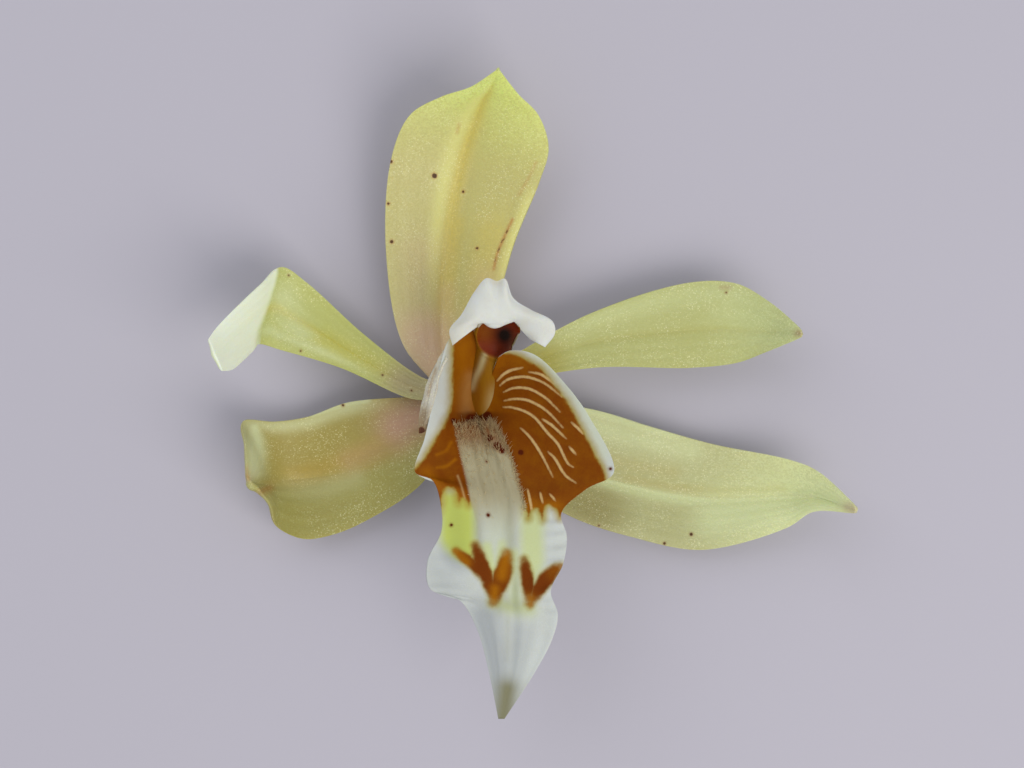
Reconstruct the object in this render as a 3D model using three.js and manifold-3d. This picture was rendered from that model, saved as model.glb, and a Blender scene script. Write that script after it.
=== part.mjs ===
// A picked flower of the orchid Coelogyne rochussenii, lying on its back.
// Millimetres, +Z up. The flower looks up: the dorsal sepal points along +Y and the lip along -Y.
// The origin is on the surface that the flower lies on, under the bend of its ovary.

import * as THREE from 'three';
import { mergeVertices } from 'three/addons/utils/BufferGeometryUtils.js';
import Module from 'manifold-3d';

const wasm = await Module();
wasm.setup();

// Driving dimensions
const SEPAL_THICKNESS = 0.7;
const PETAL_THICKNESS = 0.65;
const LIP_THICKNESS = 0.65;
const HOOD_THICKNESS = 0.6;
const SEAT_GAP = 0.3;
const RESTING_TRIM = 4;
// Three keels run side by side on a raised band, tallest near a third of the way along the lip
const KEEL_BAND = { halfWidth: 1.75, edge: 0.35, maxShare: 0.45 };
const KEEL = { height: 0.5, spacing: 1.1, halfWidth: 0.34, middleShare: 0.7, tallestAt: 0.32, reach: 0.2 };
const OVARY_RIBS = 6;
const OVARY_RIB_DEPTH = 0.07;
const CAP_TILT = 0.55;
const CAP_SCALLOPS = 5;
const CAP_SCALLOP_DEPTH = 0.05;
const HOOD_SAG = 0.5;
// How far each half of a blade bows up, as a fraction of its width
const BLADE_BOW = 0.06;
// The lip's walls start flat at the middle and rise at first by this power of the way out
const WALL_CURL = 2.2;

// Facets along and across each kind of sheet, along and around each tube, and from pole to pole
const BLADE_STEPS = [22, 8];
const LIP_STEPS = [34, 20];
const HOOD_STEPS = [24, 5];
const STALK_STEPS = [12, 20];
const OVARY_STEPS = [26, 24];
const ELLIPSOID_STEPS = 10;

// Each blade is drawn by its midrib and its two margins, from the base to the tip.
// Left and right are as seen from above, looking from the base towards the tip.
const DORSAL_SEPAL = {
  midrib: [[-1.0, 0.7, 3.9], [-1.4, 4.5, 3.4], [-1.1, 11.0, 3.0], [0.2, 18.2, 3.8], [1.2, 21.0, 5.6],
    [1.9, 22.2, 7.6], [2.5, 22.9, 9.4], [3.0, 23.6, 11.2]],
  left: [[-2.0, 1.1, 3.9], [-4.4, 4.2, 4.0], [-5.5, 11.2, 4.2], [-5.1, 18.1, 4.9], [-3.6, 21.2, 6.6],
    [-1.3, 22.3, 7.7], [0.9, 22.8, 9.0], [2.8, 23.6, 11.2]],
  right: [[0.1, 0.9, 3.9], [1.9, 4.7, 4.2], [4.2, 11.6, 4.2], [6.1, 16.6, 4.7], [6.7, 19.0, 5.5],
    [6.0, 21.1, 6.9], [4.5, 22.4, 8.8], [3.2, 23.6, 11.2]],
};
const LATERAL_SEPAL_RIGHT = {
  midrib: [[0.5, -0.5, 3.9], [4.7, -3.4, 2.9], [9.8, -5.7, 1.6], [14.1, -7.0, 0.8], [19.1, -7.8, 0.7],
    [25.3, -7.6, 2.3], [27.2, -7.5, 3.8], [29.8, -8.5, 7.2]],
  left: [[0.8, 0.4, 3.9], [5.8, -0.2, 3.6], [10.7, -1.0, 2.6], [15.0, -2.5, 2.2], [19.6, -3.7, 2.2],
    [25.5, -4.9, 3.8], [27.3, -5.6, 4.8], [29.8, -8.3, 7.2]],
  right: [[0.0, -1.6, 3.9], [3.7, -6.1, 3.4], [8.7, -9.1, 2.4], [13.4, -10.6, 1.9], [18.9, -11.7, 1.9],
    [25.3, -10.0, 3.2], [27.1, -8.6, 4.4], [29.7, -8.7, 7.2]],
};
const LATERAL_SEPAL_LEFT = {
  midrib: [[-0.9, -1.1, 3.9], [-3.6, -3.4, 2.9], [-8.7, -5.8, 1.2], [-11.2, -6.3, 0.65], [-13.2, -6.5, 1.1],
    [-14.1, -6.5, 2.7], [-14.4, -6.4, 6.0], [-14.6, -6.3, 9.9]],
  left: [[-0.6, -2.2, 3.9], [-2.8, -6.5, 3.2], [-7.5, -9.3, 1.9], [-9.9, -10.3, 2.0], [-12.0, -10.7, 2.8],
    [-13.2, -10.1, 4.8], [-13.5, -8.4, 7.4], [-14.0, -6.7, 9.9]],
  right: [[-1.0, 0.1, 3.9], [-4.6, -0.1, 3.6], [-9.3, -0.7, 2.4], [-11.5, -1.3, 2.2], [-13.6, -1.7, 2.8],
    [-14.9, -1.9, 4.6], [-15.7, -2.5, 7.8], [-15.0, -6.0, 9.9]],
};
const PETAL_LEFT = {
  midrib: [[-1.2, 0.4, 5.2], [-3.2, 0.7, 4.8], [-8.4, 3.5, 3.0], [-13.0, 6.2, 2.4], [-14.2, 6.8, 3.4],
    [-15.2, 5.8, 6.0], [-16.8, 3.7, 10.6], [-17.3, 3.0, 12.7]],
  left: [[-1.5, -0.1, 5.2], [-3.6, -0.1, 4.9], [-9.2, 2.5, 3.6], [-13.9, 3.7, 3.4], [-15.0, 4.1, 4.6],
    [-15.6, 3.2, 6.4], [-16.4, 2.0, 10.2], [-16.8, 2.1, 12.6]],
  right: [[-1.0, 1.0, 5.2], [-2.9, 1.6, 4.9], [-7.4, 4.7, 3.6], [-11.8, 8.6, 3.8], [-13.2, 9.7, 5.2],
    [-14.6, 8.2, 7.4], [-17.2, 5.1, 11.0], [-17.8, 4.1, 12.4]],
};
const PETAL_RIGHT = {
  midrib: [[0.8, 0.5, 5.3], [3.5, 1.8, 4.8], [10.1, 4.2, 3.2], [18.1, 5.1, 2.2], [21.6, 5.1, 2.8],
    [23.8, 5.0, 4.4], [25.9, 4.8, 7.4]],
  left: [[0.7, 1.1, 5.3], [3.1, 2.6, 5.0], [10.1, 6.3, 4.0], [17.8, 8.7, 3.6], [21.3, 8.6, 4.2],
    [23.6, 7.2, 5.4], [25.9, 5.1, 7.4]],
  right: [[1.1, -0.1, 5.3], [3.9, 1.1, 5.0], [10.4, 2.4, 3.8], [18.0, 2.4, 3.4], [21.5, 2.8, 3.8],
    [23.5, 3.6, 4.8], [25.9, 4.6, 7.4]],
};

// The lip runs from the foot of the column to its tip, first as a trough between two side lobes,
// then, past a waist, as the flat pointed mid-lobe.
const LIP = {
  middle: [[1.5, -1.0, 5.9], [1.5, -1.5, 6.0], [1.5, -2.2, 6.2], [1.9, -3.4, 6.7], [2.2, -4.8, 7.3],
    [2.5, -6.3, 8.0], [2.9, -7.6, 8.7], [3.2, -8.8, 9.3], [3.5, -10.6, 10.1], [3.8, -12.5, 10.8],
    [3.9, -14.3, 11.3], [3.9, -15.7, 11.7], [3.8, -17.5, 12.1], [3.7, -20.0, 12.3], [3.3, -23.4, 12.0]],
  left: [[3.0, 3.0, 10.8], [4.0, 3.5, 11.5], [5.6, 3.2, 11.8], [7.9, 1.0, 11.8], [9.7, -1.5, 11.7],
    [11.3, -5.4, 11.8], [9.5, -6.7, 10.8], [7.6, -8.5, 10.2], [8.0, -10.2, 10.5], [7.7, -12.2, 11.0],
    [6.8, -14.1, 11.5], [7.3, -15.8, 12.0], [6.9, -17.5, 12.3], [5.7, -19.8, 12.5], [3.5, -23.3, 12.0]],
  right: [[1.0, 4.7, 10.7], [-0.5, 4.1, 11.1], [-1.6, 2.3, 11.2], [-2.3, -0.3, 11.0], [-2.6, -3.0, 10.8],
    [-3.0, -5.3, 10.8], [-1.6, -6.1, 10.3], [-1.1, -8.1, 9.9], [-1.2, -9.9, 10.1], [-2.1, -12.0, 10.4],
    [-1.8, -13.9, 10.9], [0.3, -14.7, 11.4], [1.6, -16.9, 11.9], [2.4, -19.7, 12.2], [3.1, -23.3, 12.0]],
};

// The column's axis, with the half width and the two half depths of its section on the way up
const COLUMN = {
  axis: [[2.0, 0.35, 5.8], [2.4, 2.0, 7.6], [2.75, 3.6, 9.4], [2.95, 4.9, 11.0], [3.0, 5.8, 12.1]],
  halfWidth: [1.0, 0.95, 1.15, 1.65, 1.8],
  frontDepth: [0.7, 0.65, 0.7, 0.8, 0.7],
  backDepth: [0.8, 0.75, 0.85, 1.1, 1.2],
};
// The hood flares from the column's end: a root line, and a free edge with three lobes
const HOOD = {
  root: [[1.7, 5.1, 11.5], [1.6, 5.5, 11.3], [1.8, 6.0, 11.2], [2.3, 6.4, 11.3], [3.0, 6.6, 11.3],
    [3.7, 6.4, 11.3], [4.2, 6.0, 11.4], [4.4, 5.6, 11.6], [4.4, 5.2, 11.7], [4.3, 4.9, 11.8]],
  edge: [[0.1, 3.8, 12.2], [-0.2, 5.0, 12.4], [0.6, 6.3, 12.3], [1.6, 7.9, 12.1], [2.9, 8.7, 12.0],
    [3.9, 8.1, 12.3], [4.6, 6.9, 12.8], [5.8, 6.2, 13.4], [6.8, 5.0, 13.8], [6.3, 3.9, 13.6]],
};
const STIGMA = { centre: [3.0, 4.0, 12.0], radii: [1.5, 1.2, 0.8] };
const ANTHER_CAP = { centre: [2.9, 6.35, 12.35], radii: [1.65, 1.45, 0.95] };

// The ovary's axis, from the seat of the flower down to the bend and out to the cut end of the pedicel
const OVARY = {
  axis: [[0.6, 0.0, 5.5], [0.5, -0.5, 4.2], [0.2, -1.1, 2.6], [0.0, -0.9, 1.3], [-0.2, 0.7, 0.97],
    [-0.7, 4.0, 0.95], [-1.3, 8.0, 0.85], [-1.8, 13.6, 0.62]],
  radius: [1.4, 1.25, 1.15, 1.1, 1.07, 1.02, 0.85, 0.7],
};

// Curves and numbers along a piece
function rail(points) {
  const knots = points.map(([x, y, z]) => new THREE.Vector3(x, y, z));
  const curve = new THREE.CatmullRomCurve3(knots, false, 'centripetal');
  return (u) => curve.getPoint(u);
}

function ramp(values) {
  return (u) => {
    const place = Math.min(Math.max(u, 0), 1) * (values.length - 1);
    const index = Math.min(Math.floor(place), values.length - 2);
    return THREE.MathUtils.lerp(values[index], values[index + 1], place - index);
  };
}

function bump(x, centre, width) {
  return Math.exp(-(((x - centre) / width) ** 2));
}

// Closed solids from surfaces
function closedGeometry(vertices, triangles) {
  const geometry = new THREE.BufferGeometry();
  const numbers = vertices.flatMap((p) => [p.x, p.y, p.z]);
  geometry.setAttribute('position', new THREE.Float32BufferAttribute(numbers, 3));
  geometry.setIndex(triangles);
  return geometry;
}

function surfaceNormal(pointAt, u, v) {
  const step = 0.004;
  const across = pointAt(u, Math.min(v + step, 1)).sub(pointAt(u, Math.max(v - step, -1)));
  const along = pointAt(Math.min(u + step, 1), v).sub(pointAt(Math.max(u - step, 0), v));
  return across.cross(along).normalize();
}

// A sheet of even thickness under the surface pointAt(u, v), with u from 0 to 1 and v from -1 to 1
function sheet(pointAt, thickness, [stepsAlong, stepsAcross]) {
  const upper = [];
  const lower = [];
  for (let i = 0; i <= stepsAlong; i += 1) {
    for (let j = 0; j <= stepsAcross; j += 1) {
      const u = i / stepsAlong;
      const v = -1 + (2 * j) / stepsAcross;
      const point = pointAt(u, v);
      upper.push(point);
      lower.push(point.clone().addScaledVector(surfaceNormal(pointAt, u, v), -thickness));
    }
  }
  const row = stepsAcross + 1;
  const under = upper.length;
  const top = (i, j) => i * row + j;
  const low = (i, j) => under + i * row + j;
  const triangles = [];
  const quad = (a, b, c, d) => triangles.push(a, b, c, a, c, d);
  for (let i = 0; i < stepsAlong; i += 1) {
    for (let j = 0; j < stepsAcross; j += 1) {
      quad(top(i, j), top(i, j + 1), top(i + 1, j + 1), top(i + 1, j));
      triangles.push(low(i, j), low(i + 1, j + 1), low(i, j + 1));
      triangles.push(low(i, j), low(i + 1, j), low(i + 1, j + 1));
    }
    quad(top(i, 0), top(i + 1, 0), low(i + 1, 0), low(i, 0));
    quad(top(i + 1, stepsAcross), top(i, stepsAcross), low(i, stepsAcross), low(i + 1, stepsAcross));
  }
  for (let j = 0; j < stepsAcross; j += 1) {
    quad(top(0, j + 1), top(0, j), low(0, j), low(0, j + 1));
    quad(top(stepsAlong, j), top(stepsAlong, j + 1), low(stepsAlong, j + 1), low(stepsAlong, j));
  }
  return closedGeometry([...upper, ...lower], triangles);
}

// A solid tube of rings. sectionAt(u, angle) gives the offset from the axis, sideways and forwards.
function tube(axisAt, sectionAt, [stepsAlong, stepsAround]) {
  const vertices = [];
  for (let i = 0; i <= stepsAlong; i += 1) {
    const u = i / stepsAlong;
    const centre = axisAt(u);
    const along = axisAt(Math.min(u + 0.01, 1)).sub(axisAt(Math.max(u - 0.01, 0))).normalize();
    const side = new THREE.Vector3(1, 0, 0).addScaledVector(along, -along.x).normalize();
    const front = side.clone().cross(along).normalize();
    for (let j = 0; j < stepsAround; j += 1) {
      const [sideways, forwards] = sectionAt(u, (2 * Math.PI * j) / stepsAround);
      vertices.push(centre.clone().addScaledVector(side, sideways).addScaledVector(front, forwards));
    }
  }
  const start = vertices.push(axisAt(0)) - 1;
  const end = vertices.push(axisAt(1)) - 1;
  const triangles = [];
  for (let j = 0; j < stepsAround; j += 1) {
    const next = (j + 1) % stepsAround;
    for (let i = 0; i < stepsAlong; i += 1) {
      const a = i * stepsAround;
      const b = a + stepsAround;
      triangles.push(a + j, b + next, a + next, a + j, b + j, b + next);
    }
    const last = stepsAlong * stepsAround;
    triangles.push(start, j, next, end, last + next, last + j);
  }
  return closedGeometry(vertices, triangles);
}

// Booleans
function toSolid(geometry) {
  const bare = geometry.clone();
  bare.deleteAttribute('normal');
  bare.deleteAttribute('uv');
  const welded = mergeVertices(bare, 1e-4);
  const mesh = new wasm.Mesh({
    numProp: 3,
    vertProperties: new Float32Array(welded.attributes.position.array),
    triVerts: new Uint32Array(welded.index.array),
  });
  return new wasm.Manifold(mesh);
}

function toGeometry(solid) {
  const { vertProperties, triVerts } = solid.getMesh();
  const geometry = new THREE.BufferGeometry();
  geometry.setAttribute('position', new THREE.BufferAttribute(new Float32Array(vertProperties), 3));
  geometry.setIndex(new THREE.BufferAttribute(new Uint32Array(triVerts), 1));
  return geometry;
}

function ellipsoid(centre, radii) {
  const geometry = new THREE.SphereGeometry(1, 2 * ELLIPSOID_STEPS, ELLIPSOID_STEPS);
  geometry.scale(...radii);
  geometry.translate(...centre);
  return geometry;
}

// What lies below the resting surface is cut off flat
function belowSurface() {
  const block = new THREE.BoxGeometry(100, 100, RESTING_TRIM);
  block.translate(0, 0, -RESTING_TRIM / 2);
  return toSolid(block);
}

// Sepals and petals: each half bows up between the sunken midrib and the margin
function bladeSurface({ midrib, left, right }) {
  const middle = rail(midrib);
  const margins = [rail(left), rail(right)];
  return (u, v) => {
    const centre = middle(u);
    const span = margins[v < 0 ? 0 : 1](u).sub(centre);
    const along = middle(Math.min(u + 0.01, 1)).sub(middle(Math.max(u - 0.01, 0)));
    const up = v < 0 ? along.clone().cross(span) : span.clone().cross(along);
    const w = Math.abs(v);
    const lift = BLADE_BOW * 4 * w * (1 - w) * span.length();
    return centre.addScaledVector(span, w).addScaledVector(up.normalize(), lift);
  };
}

function blade(outline, thickness) {
  const whole = toSolid(sheet(bladeSurface(outline), thickness, BLADE_STEPS));
  return toGeometry(whole.subtract(ovarySolid(SEAT_GAP)).subtract(belowSurface()));
}

// The lip: a raised band with three keels along its middle, and walls that rise to the side lobes' margins
function lipSurface() {
  const middle = rail(LIP.middle);
  const margins = [rail(LIP.left), rail(LIP.right)];
  return (u, v) => {
    const centre = middle(u);
    const reach = margins[v < 0 ? 0 : 1](u).sub(centre);
    const rise = reach.z;
    const run = Math.hypot(reach.x, reach.y);
    const band = Math.min(KEEL_BAND.halfWidth / run, KEEL_BAND.maxShare);
    const side = Math.abs(v);
    const w = side <= 0.5 ? band * 2 * side : band + (1 - band) * (2 * side - 1);
    const climb = (w ** WALL_CURL + w * w * (3 - 2 * w)) / 2;
    const distance = w * run;
    const outer = bump(distance, KEEL.spacing, KEEL.halfWidth);
    const crests = outer + KEEL.middleShare * bump(distance, 0, KEEL.halfWidth);
    const plateau = THREE.MathUtils.smoothstep(KEEL_BAND.halfWidth - distance, 0, KEEL_BAND.edge);
    const keels = (KEEL.height * bump(u, KEEL.tallestAt, KEEL.reach) * (plateau + crests)) / 2;
    return new THREE.Vector3(
      centre.x + reach.x * w,
      centre.y + reach.y * w,
      centre.z + rise * climb + keels,
    );
  };
}

function lip() {
  const whole = toSolid(sheet(lipSurface(), LIP_THICKNESS, LIP_STEPS));
  const cleared = whole.subtract(columnStalk(SEAT_GAP)).subtract(ovarySolid(SEAT_GAP));
  return toGeometry(largest(cleared));
}

function largest(solid) {
  return solid.decompose().reduce((a, b) => (a.volume() >= b.volume() ? a : b));
}

// The column: a half-round stalk that widens to the stigma, grown together with its hood
function columnStalk(grow = 0) {
  const halfWidth = ramp(COLUMN.halfWidth);
  const front = ramp(COLUMN.frontDepth);
  const back = ramp(COLUMN.backDepth);
  const section = (u, angle) => {
    const depth = Math.sin(angle) > 0 ? front(u) : back(u);
    return [(halfWidth(u) + grow) * Math.cos(angle), (depth + grow) * Math.sin(angle)];
  };
  return toSolid(tube(rail(COLUMN.axis), section, STALK_STEPS));
}

function hoodSurface() {
  const root = rail(HOOD.root);
  const edge = rail(HOOD.edge);
  return (u, v) => {
    const w = (1 - v) / 2;
    const inner = root(u);
    const span = edge(u).sub(inner);
    return inner.addScaledVector(span, w).add(new THREE.Vector3(0, 0, -HOOD_SAG * w * (1 - w)));
  };
}

function column() {
  const hood = toSolid(sheet(hoodSurface(), HOOD_THICKNESS, HOOD_STEPS));
  const stigma = toSolid(ellipsoid(STIGMA.centre, STIGMA.radii));
  return toGeometry(largest(columnStalk().add(hood).subtract(stigma)));
}

function antherCap() {
  const dome = ellipsoid([0, 0, 0], ANTHER_CAP.radii);
  dome.rotateX(-CAP_TILT);
  const places = dome.attributes.position;
  for (let i = 0; i < places.count; i += 1) {
    const angle = Math.atan2(places.getY(i), places.getX(i));
    const swell = 1 + CAP_SCALLOP_DEPTH * Math.cos(CAP_SCALLOPS * angle);
    places.setXYZ(i, places.getX(i) * swell, places.getY(i) * swell, places.getZ(i));
  }
  dome.translate(...ANTHER_CAP.centre);
  return toGeometry(largest(toSolid(dome).subtract(columnStalk(SEAT_GAP)).subtract(hoodClearance())));
}

function hoodClearance() {
  const raised = hoodSurface();
  const lifted = (u, v) => raised(u, v).add(new THREE.Vector3(0, 0, SEAT_GAP));
  return toSolid(sheet(lifted, HOOD_THICKNESS + 2 * SEAT_GAP, HOOD_STEPS));
}

// The ovary narrows to the pedicel, and lies on one of its ribs
function ovarySolid(grow = 0) {
  const radius = ramp(OVARY.radius);
  const section = (u, angle) => {
    const reach = radius(u) * (1 - OVARY_RIB_DEPTH * Math.cos(OVARY_RIBS * angle)) + grow;
    return [reach * Math.cos(angle), reach * Math.sin(angle)];
  };
  return toSolid(tube(rail(OVARY.axis), section, OVARY_STEPS));
}

const group = new THREE.Group();

function addPiece(name, geometry, color, roughness) {
  const material = new THREE.MeshStandardMaterial({ color, roughness, metalness: 0 });
  const mesh = new THREE.Mesh(geometry, material);
  mesh.name = name;
  group.add(mesh);
}

addPiece('dorsal_sepal', blade(DORSAL_SEPAL, SEPAL_THICKNESS), 0xcfc080, 0.5);
addPiece('lateral_sepal_left', blade(LATERAL_SEPAL_LEFT, SEPAL_THICKNESS), 0xc6b877, 0.5);
addPiece('lateral_sepal_right', blade(LATERAL_SEPAL_RIGHT, SEPAL_THICKNESS), 0xccc37e, 0.5);
addPiece('petal_left', blade(PETAL_LEFT, PETAL_THICKNESS), 0xc9c578, 0.5);
addPiece('petal_right', blade(PETAL_RIGHT, PETAL_THICKNESS), 0xc9c578, 0.5);
addPiece('lip', lip(), 0xa8651c, 0.5);
addPiece('column', column(), 0xece8dc, 0.45);
addPiece('anther_cap', antherCap(), 0xf2efe6, 0.45);
addPiece('ovary_and_pedicel', toGeometry(ovarySolid().subtract(belowSurface())), 0xc9a284, 0.55);

export default group;
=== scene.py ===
"""A picked flower of the orchid Coelogyne rochussenii, lying on its back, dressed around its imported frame.

Places and sizes here are millimetres until a mesh is made, and the frame is metres.
+X is to the right, +Y runs along the dorsal sepal, and +Z is up out of the face of the flower.
A piece's left and right are as seen from above, looking from its base towards its tip.
"""
import logging
import math
from dataclasses import dataclass
from enum import Enum
from typing import Callable, Sequence

import bpy
import numpy as np
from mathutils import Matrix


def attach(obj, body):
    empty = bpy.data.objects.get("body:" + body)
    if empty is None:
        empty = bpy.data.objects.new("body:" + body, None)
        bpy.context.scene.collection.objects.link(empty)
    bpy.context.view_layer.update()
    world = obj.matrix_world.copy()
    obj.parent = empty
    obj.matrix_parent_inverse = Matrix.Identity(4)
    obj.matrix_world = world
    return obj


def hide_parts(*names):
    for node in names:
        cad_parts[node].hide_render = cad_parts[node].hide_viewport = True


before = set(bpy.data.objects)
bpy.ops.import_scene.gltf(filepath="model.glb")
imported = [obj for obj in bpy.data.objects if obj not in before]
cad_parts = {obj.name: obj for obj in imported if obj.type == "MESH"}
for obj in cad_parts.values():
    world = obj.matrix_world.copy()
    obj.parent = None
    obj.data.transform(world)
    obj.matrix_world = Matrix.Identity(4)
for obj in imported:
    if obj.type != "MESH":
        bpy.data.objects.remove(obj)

Array = np.ndarray
Points = Sequence[tuple[float, ...]]
Colour = tuple[float, float, float]

MM = 0.001
BODY = "root"
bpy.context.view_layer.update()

logging.basicConfig(level=logging.INFO, format="%(message)s")
log = logging.getLogger("flower")


class Slot(Enum):
    """The record's material slots."""

    SEPAL = "sepal"
    PETAL = "petal"
    LIP = "lip"
    COLUMN = "column"
    ANTHER_CAP = "anther_cap"
    OVARY = "ovary"


class Mark(Enum):
    """What is painted on a piece: one number at each point of its mesh, read by its finish."""

    BLUSH = "blush"
    GOLD = "gold"
    # Painted shade: lowers the colour where less light falls
    PAINTED_SHADE = "painted_shade"
    # Paler skin, and painted highlight where light falls
    PALE_AND_HIGHLIGHT = "pale"
    STAIN = "stain"
    BROWN = "brown"
    STRIPE = "stripe"
    CHEVRON = "chevron"
    YELLOW = "yellow"
    KEEL = "keel"
    MAROON = "maroon"
    TAN = "tan"
    # Painted shade in a hollow
    HOLLOW_SHADE = "hollow_shade"


Marks = dict[Mark, Array]

# Marks that hold a depth inside a painted edge, and how far that edge draws back on a piece's lower face
EDGED_MARKS = (Mark.STAIN, Mark.BROWN, Mark.STRIPE, Mark.CHEVRON)
HIDDEN_DEPTH = 5.0

# How many points stand for a line where its length is measured
RAIL_SAMPLES = 800


# Numbers on a surface


def ramp(values: Array, low: float, high: float) -> Array:
    """Smooth step: 0 at low, 1 at high, 3t^2 - 2t^3 between."""
    t = np.clip((values - low) / (high - low), 0.0, 1.0)
    return t * t * (3.0 - 2.0 * t)


def bell(values: Array, centre: float, width: float) -> Array:
    """Bell curve exp(-((x - centre) / width)^2)."""
    return np.exp(-(((values - centre) / width) ** 2))


def unit(vectors: Array) -> Array:
    """The vectors divided by their lengths."""
    return vectors / np.maximum(np.linalg.norm(vectors, axis=-1, keepdims=True), 1e-9)


def ripple(x: Array, y: Array, wavelength: float, seed: int, count: int = 7) -> Array:
    """Soft unevenness, mostly between -1 and 1.

    It sums sines with drawn directions, pitches and phases, and divides by the square root of their number.

    Args:
        x: first coordinate of each point.
        y: second coordinate of each point.
        wavelength: the mean length of a wave, in the units of x and y.
        seed: starts the draw.
        count: how many sines are summed.

    Returns:
        One number for each point.
    """
    draw = np.random.default_rng(seed)
    total = np.zeros_like(x)
    for _ in range(count):
        angle, phase = draw.uniform(0, 2 * math.pi, 2)
        pitch = 2 * math.pi / (wavelength * draw.uniform(0.6, 1.6))
        total += np.sin(pitch * (math.cos(angle) * x + math.sin(angle) * y) + phase)
    return total / math.sqrt(count)


class Rail:
    """A smooth line through given knots.

    Each span between two knots is a cubic that leaves and reaches them along their tangents. Those come from
    the neighbouring knots, spaced by the square root of their distance. A mirrored knot ends each side.
    """

    def __init__(self, knots: Points) -> None:
        """Keeps the knots with one mirrored knot at each end, and the spacings between them.

        Args:
            knots: the places that the line passes through.
        """
        points = np.asarray(knots, float)
        first = 2 * points[0] - points[1]
        last = 2 * points[-1] - points[-2]
        self.knots = np.vstack([first, points, last])
        self.gaps = np.sqrt(np.linalg.norm(np.diff(self.knots, axis=0), axis=1))
        self.spans = len(points) - 1

    def at(self, u: Array) -> Array:
        """Finds points on the line, in which each span between two knots has an equal share of u.

        Args:
            u: places along the line, from 0 at the first knot to 1 at the last.

        Returns:
            The point at each place.
        """
        place = np.clip(u, 0.0, 1.0) * self.spans
        index = np.minimum(place.astype(int), self.spans - 1)
        t = (place - index)[..., None]
        p0, p1, p2, p3 = (self.knots[index + k] for k in range(4))
        d0, d1, d2 = (self.gaps[index + k][..., None] for k in range(3))
        leave = ((p1 - p0) / d0 - (p2 - p0) / (d0 + d1) + (p2 - p1) / d1) * d1
        arrive = ((p2 - p1) / d1 - (p3 - p1) / (d1 + d2) + (p3 - p2) / d2) * d1
        square = -3 * p1 + 3 * p2 - 2 * leave - arrive
        cube = 2 * p1 - 2 * p2 + leave + arrive
        return p1 + t * (leave + t * (square + t * cube))

    def along(self, u: Array) -> Array:
        """The unit direction of the line at u, from two points a hundredth of the line before and after."""
        return unit(self.at(u + 0.01) - self.at(u - 0.01))


def sheet_grid(
    rails: Sequence[Rail], rows: int, across: Array, weight: Points = ((0, 1), (1, 1))
) -> tuple[Array, Array, Array]:
    """The grid of a sheet, in which the widest gap between two rows stays even from end to end.

    Args:
        rails: the lines that run along the sheet.
        rows: how many rows there are.
        across: the place of each column, from -1 at the left margin to 1 at the right one.
        weight: how densely rows are packed, as pairs of a place along the rails and a density.

    Returns:
        Each point's place on the rails, its place across, and its share of the sheet's length.
    """
    fine = np.linspace(0, 1, RAIL_SAMPLES)
    steps = np.max([np.linalg.norm(np.diff(rail.at(fine), axis=0), axis=1) for rail in rails], axis=0)
    places, densities = np.asarray(weight, float).T
    length = np.append(0.0, np.cumsum(steps))
    packed = np.append(0.0, np.cumsum(steps * np.interp(fine[1:], places, densities)))
    along = np.interp(np.linspace(0, 1, rows), packed / packed[-1], fine)
    u, v = np.meshgrid(along, across, indexing="ij")
    return u, v, np.interp(u, fine, length / length[-1])


def plan_distance(x: Array, y: Array, line: Points, steps: int = 24) -> tuple[Array, Array]:
    """How far each point is, seen from above, from a smooth line, and where along it the nearest place is.

    Each point is projected on every straight piece of the sampled line, and the nearest projection is kept.

    Args:
        x: first coordinate of each point.
        y: second coordinate of each point.
        line: the line's knots, in plan.
        steps: how many straight pieces stand for the line.

    Returns:
        The distances, and the places from 0 at the line's start to 1 at its end.
    """
    path = Rail(line).at(np.linspace(0, 1, steps + 1))
    start, run = path[:-1], np.diff(path, axis=0)
    away = np.stack([x, y], -1)[..., None, :] - start
    share = np.clip((away * run).sum(-1) / np.maximum((run * run).sum(-1), 1e-9), 0, 1)
    gap = np.linalg.norm(away - share[..., None] * run, axis=-1)
    nearest = gap.argmin(-1)[..., None]
    place = (nearest + np.take_along_axis(share, nearest, -1)) / steps
    return np.take_along_axis(gap, nearest, -1)[..., 0], place[..., 0]


def stroke(x: Array, y: Array, line: Points, width: float, taper: float = 0.4) -> Array:
    """A painted line that tapers to both ends: about how far inside its edge each point is.

    With h = (width / 2)(4s(1 - s))^taper, where s is the place along the line, it is (h^2 - gap^2) / width,
    which stays smooth across the line's middle.

    Args:
        x: first coordinate of each point.
        y: second coordinate of each point.
        line: the line's knots, in plan.
        width: its greatest width.
        taper: how soon it narrows towards its ends.

    Returns:
        The depths, below 0 outside the line.
    """
    gap, place = plan_distance(x, y, line)
    half = width / 2 * (4 * place * (1 - place)) ** taper
    return np.maximum((half**2 - gap**2) / width, -HIDDEN_DEPTH)


def patch(x: Array, y: Array, loop: Points, steps: int = 6) -> Array:
    """A painted patch: the distance from each point to its smooth outline.

    A point is inside where a line from it towards +X crosses the outline an odd number of times.

    Args:
        x: first coordinate of each point.
        y: second coordinate of each point.
        loop: the outline's knots, in plan.
        steps: how many straight pieces stand for each of its spans.

    Returns:
        The distances, above 0 inside the patch and below 0 outside.
    """
    closed = [*loop, loop[0]]
    pieces = steps * len(loop)
    gap, _ = plan_distance(x, y, closed, pieces)
    path = Rail(closed).at(np.linspace(0, 1, pieces + 1))
    (x0, y0), (x1, y1) = path[:-1].T, path[1:].T
    beside = (y0 <= y[..., None]) != (y1 <= y[..., None])
    rise = np.where(np.abs(y1 - y0) < 1e-9, 1e-9, y1 - y0)
    crossing = x0 + (y[..., None] - y0) * (x1 - x0) / rise
    inside = (beside & (crossing > x[..., None])).sum(-1) % 2 == 1
    return np.where(inside, gap, -gap)


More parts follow.
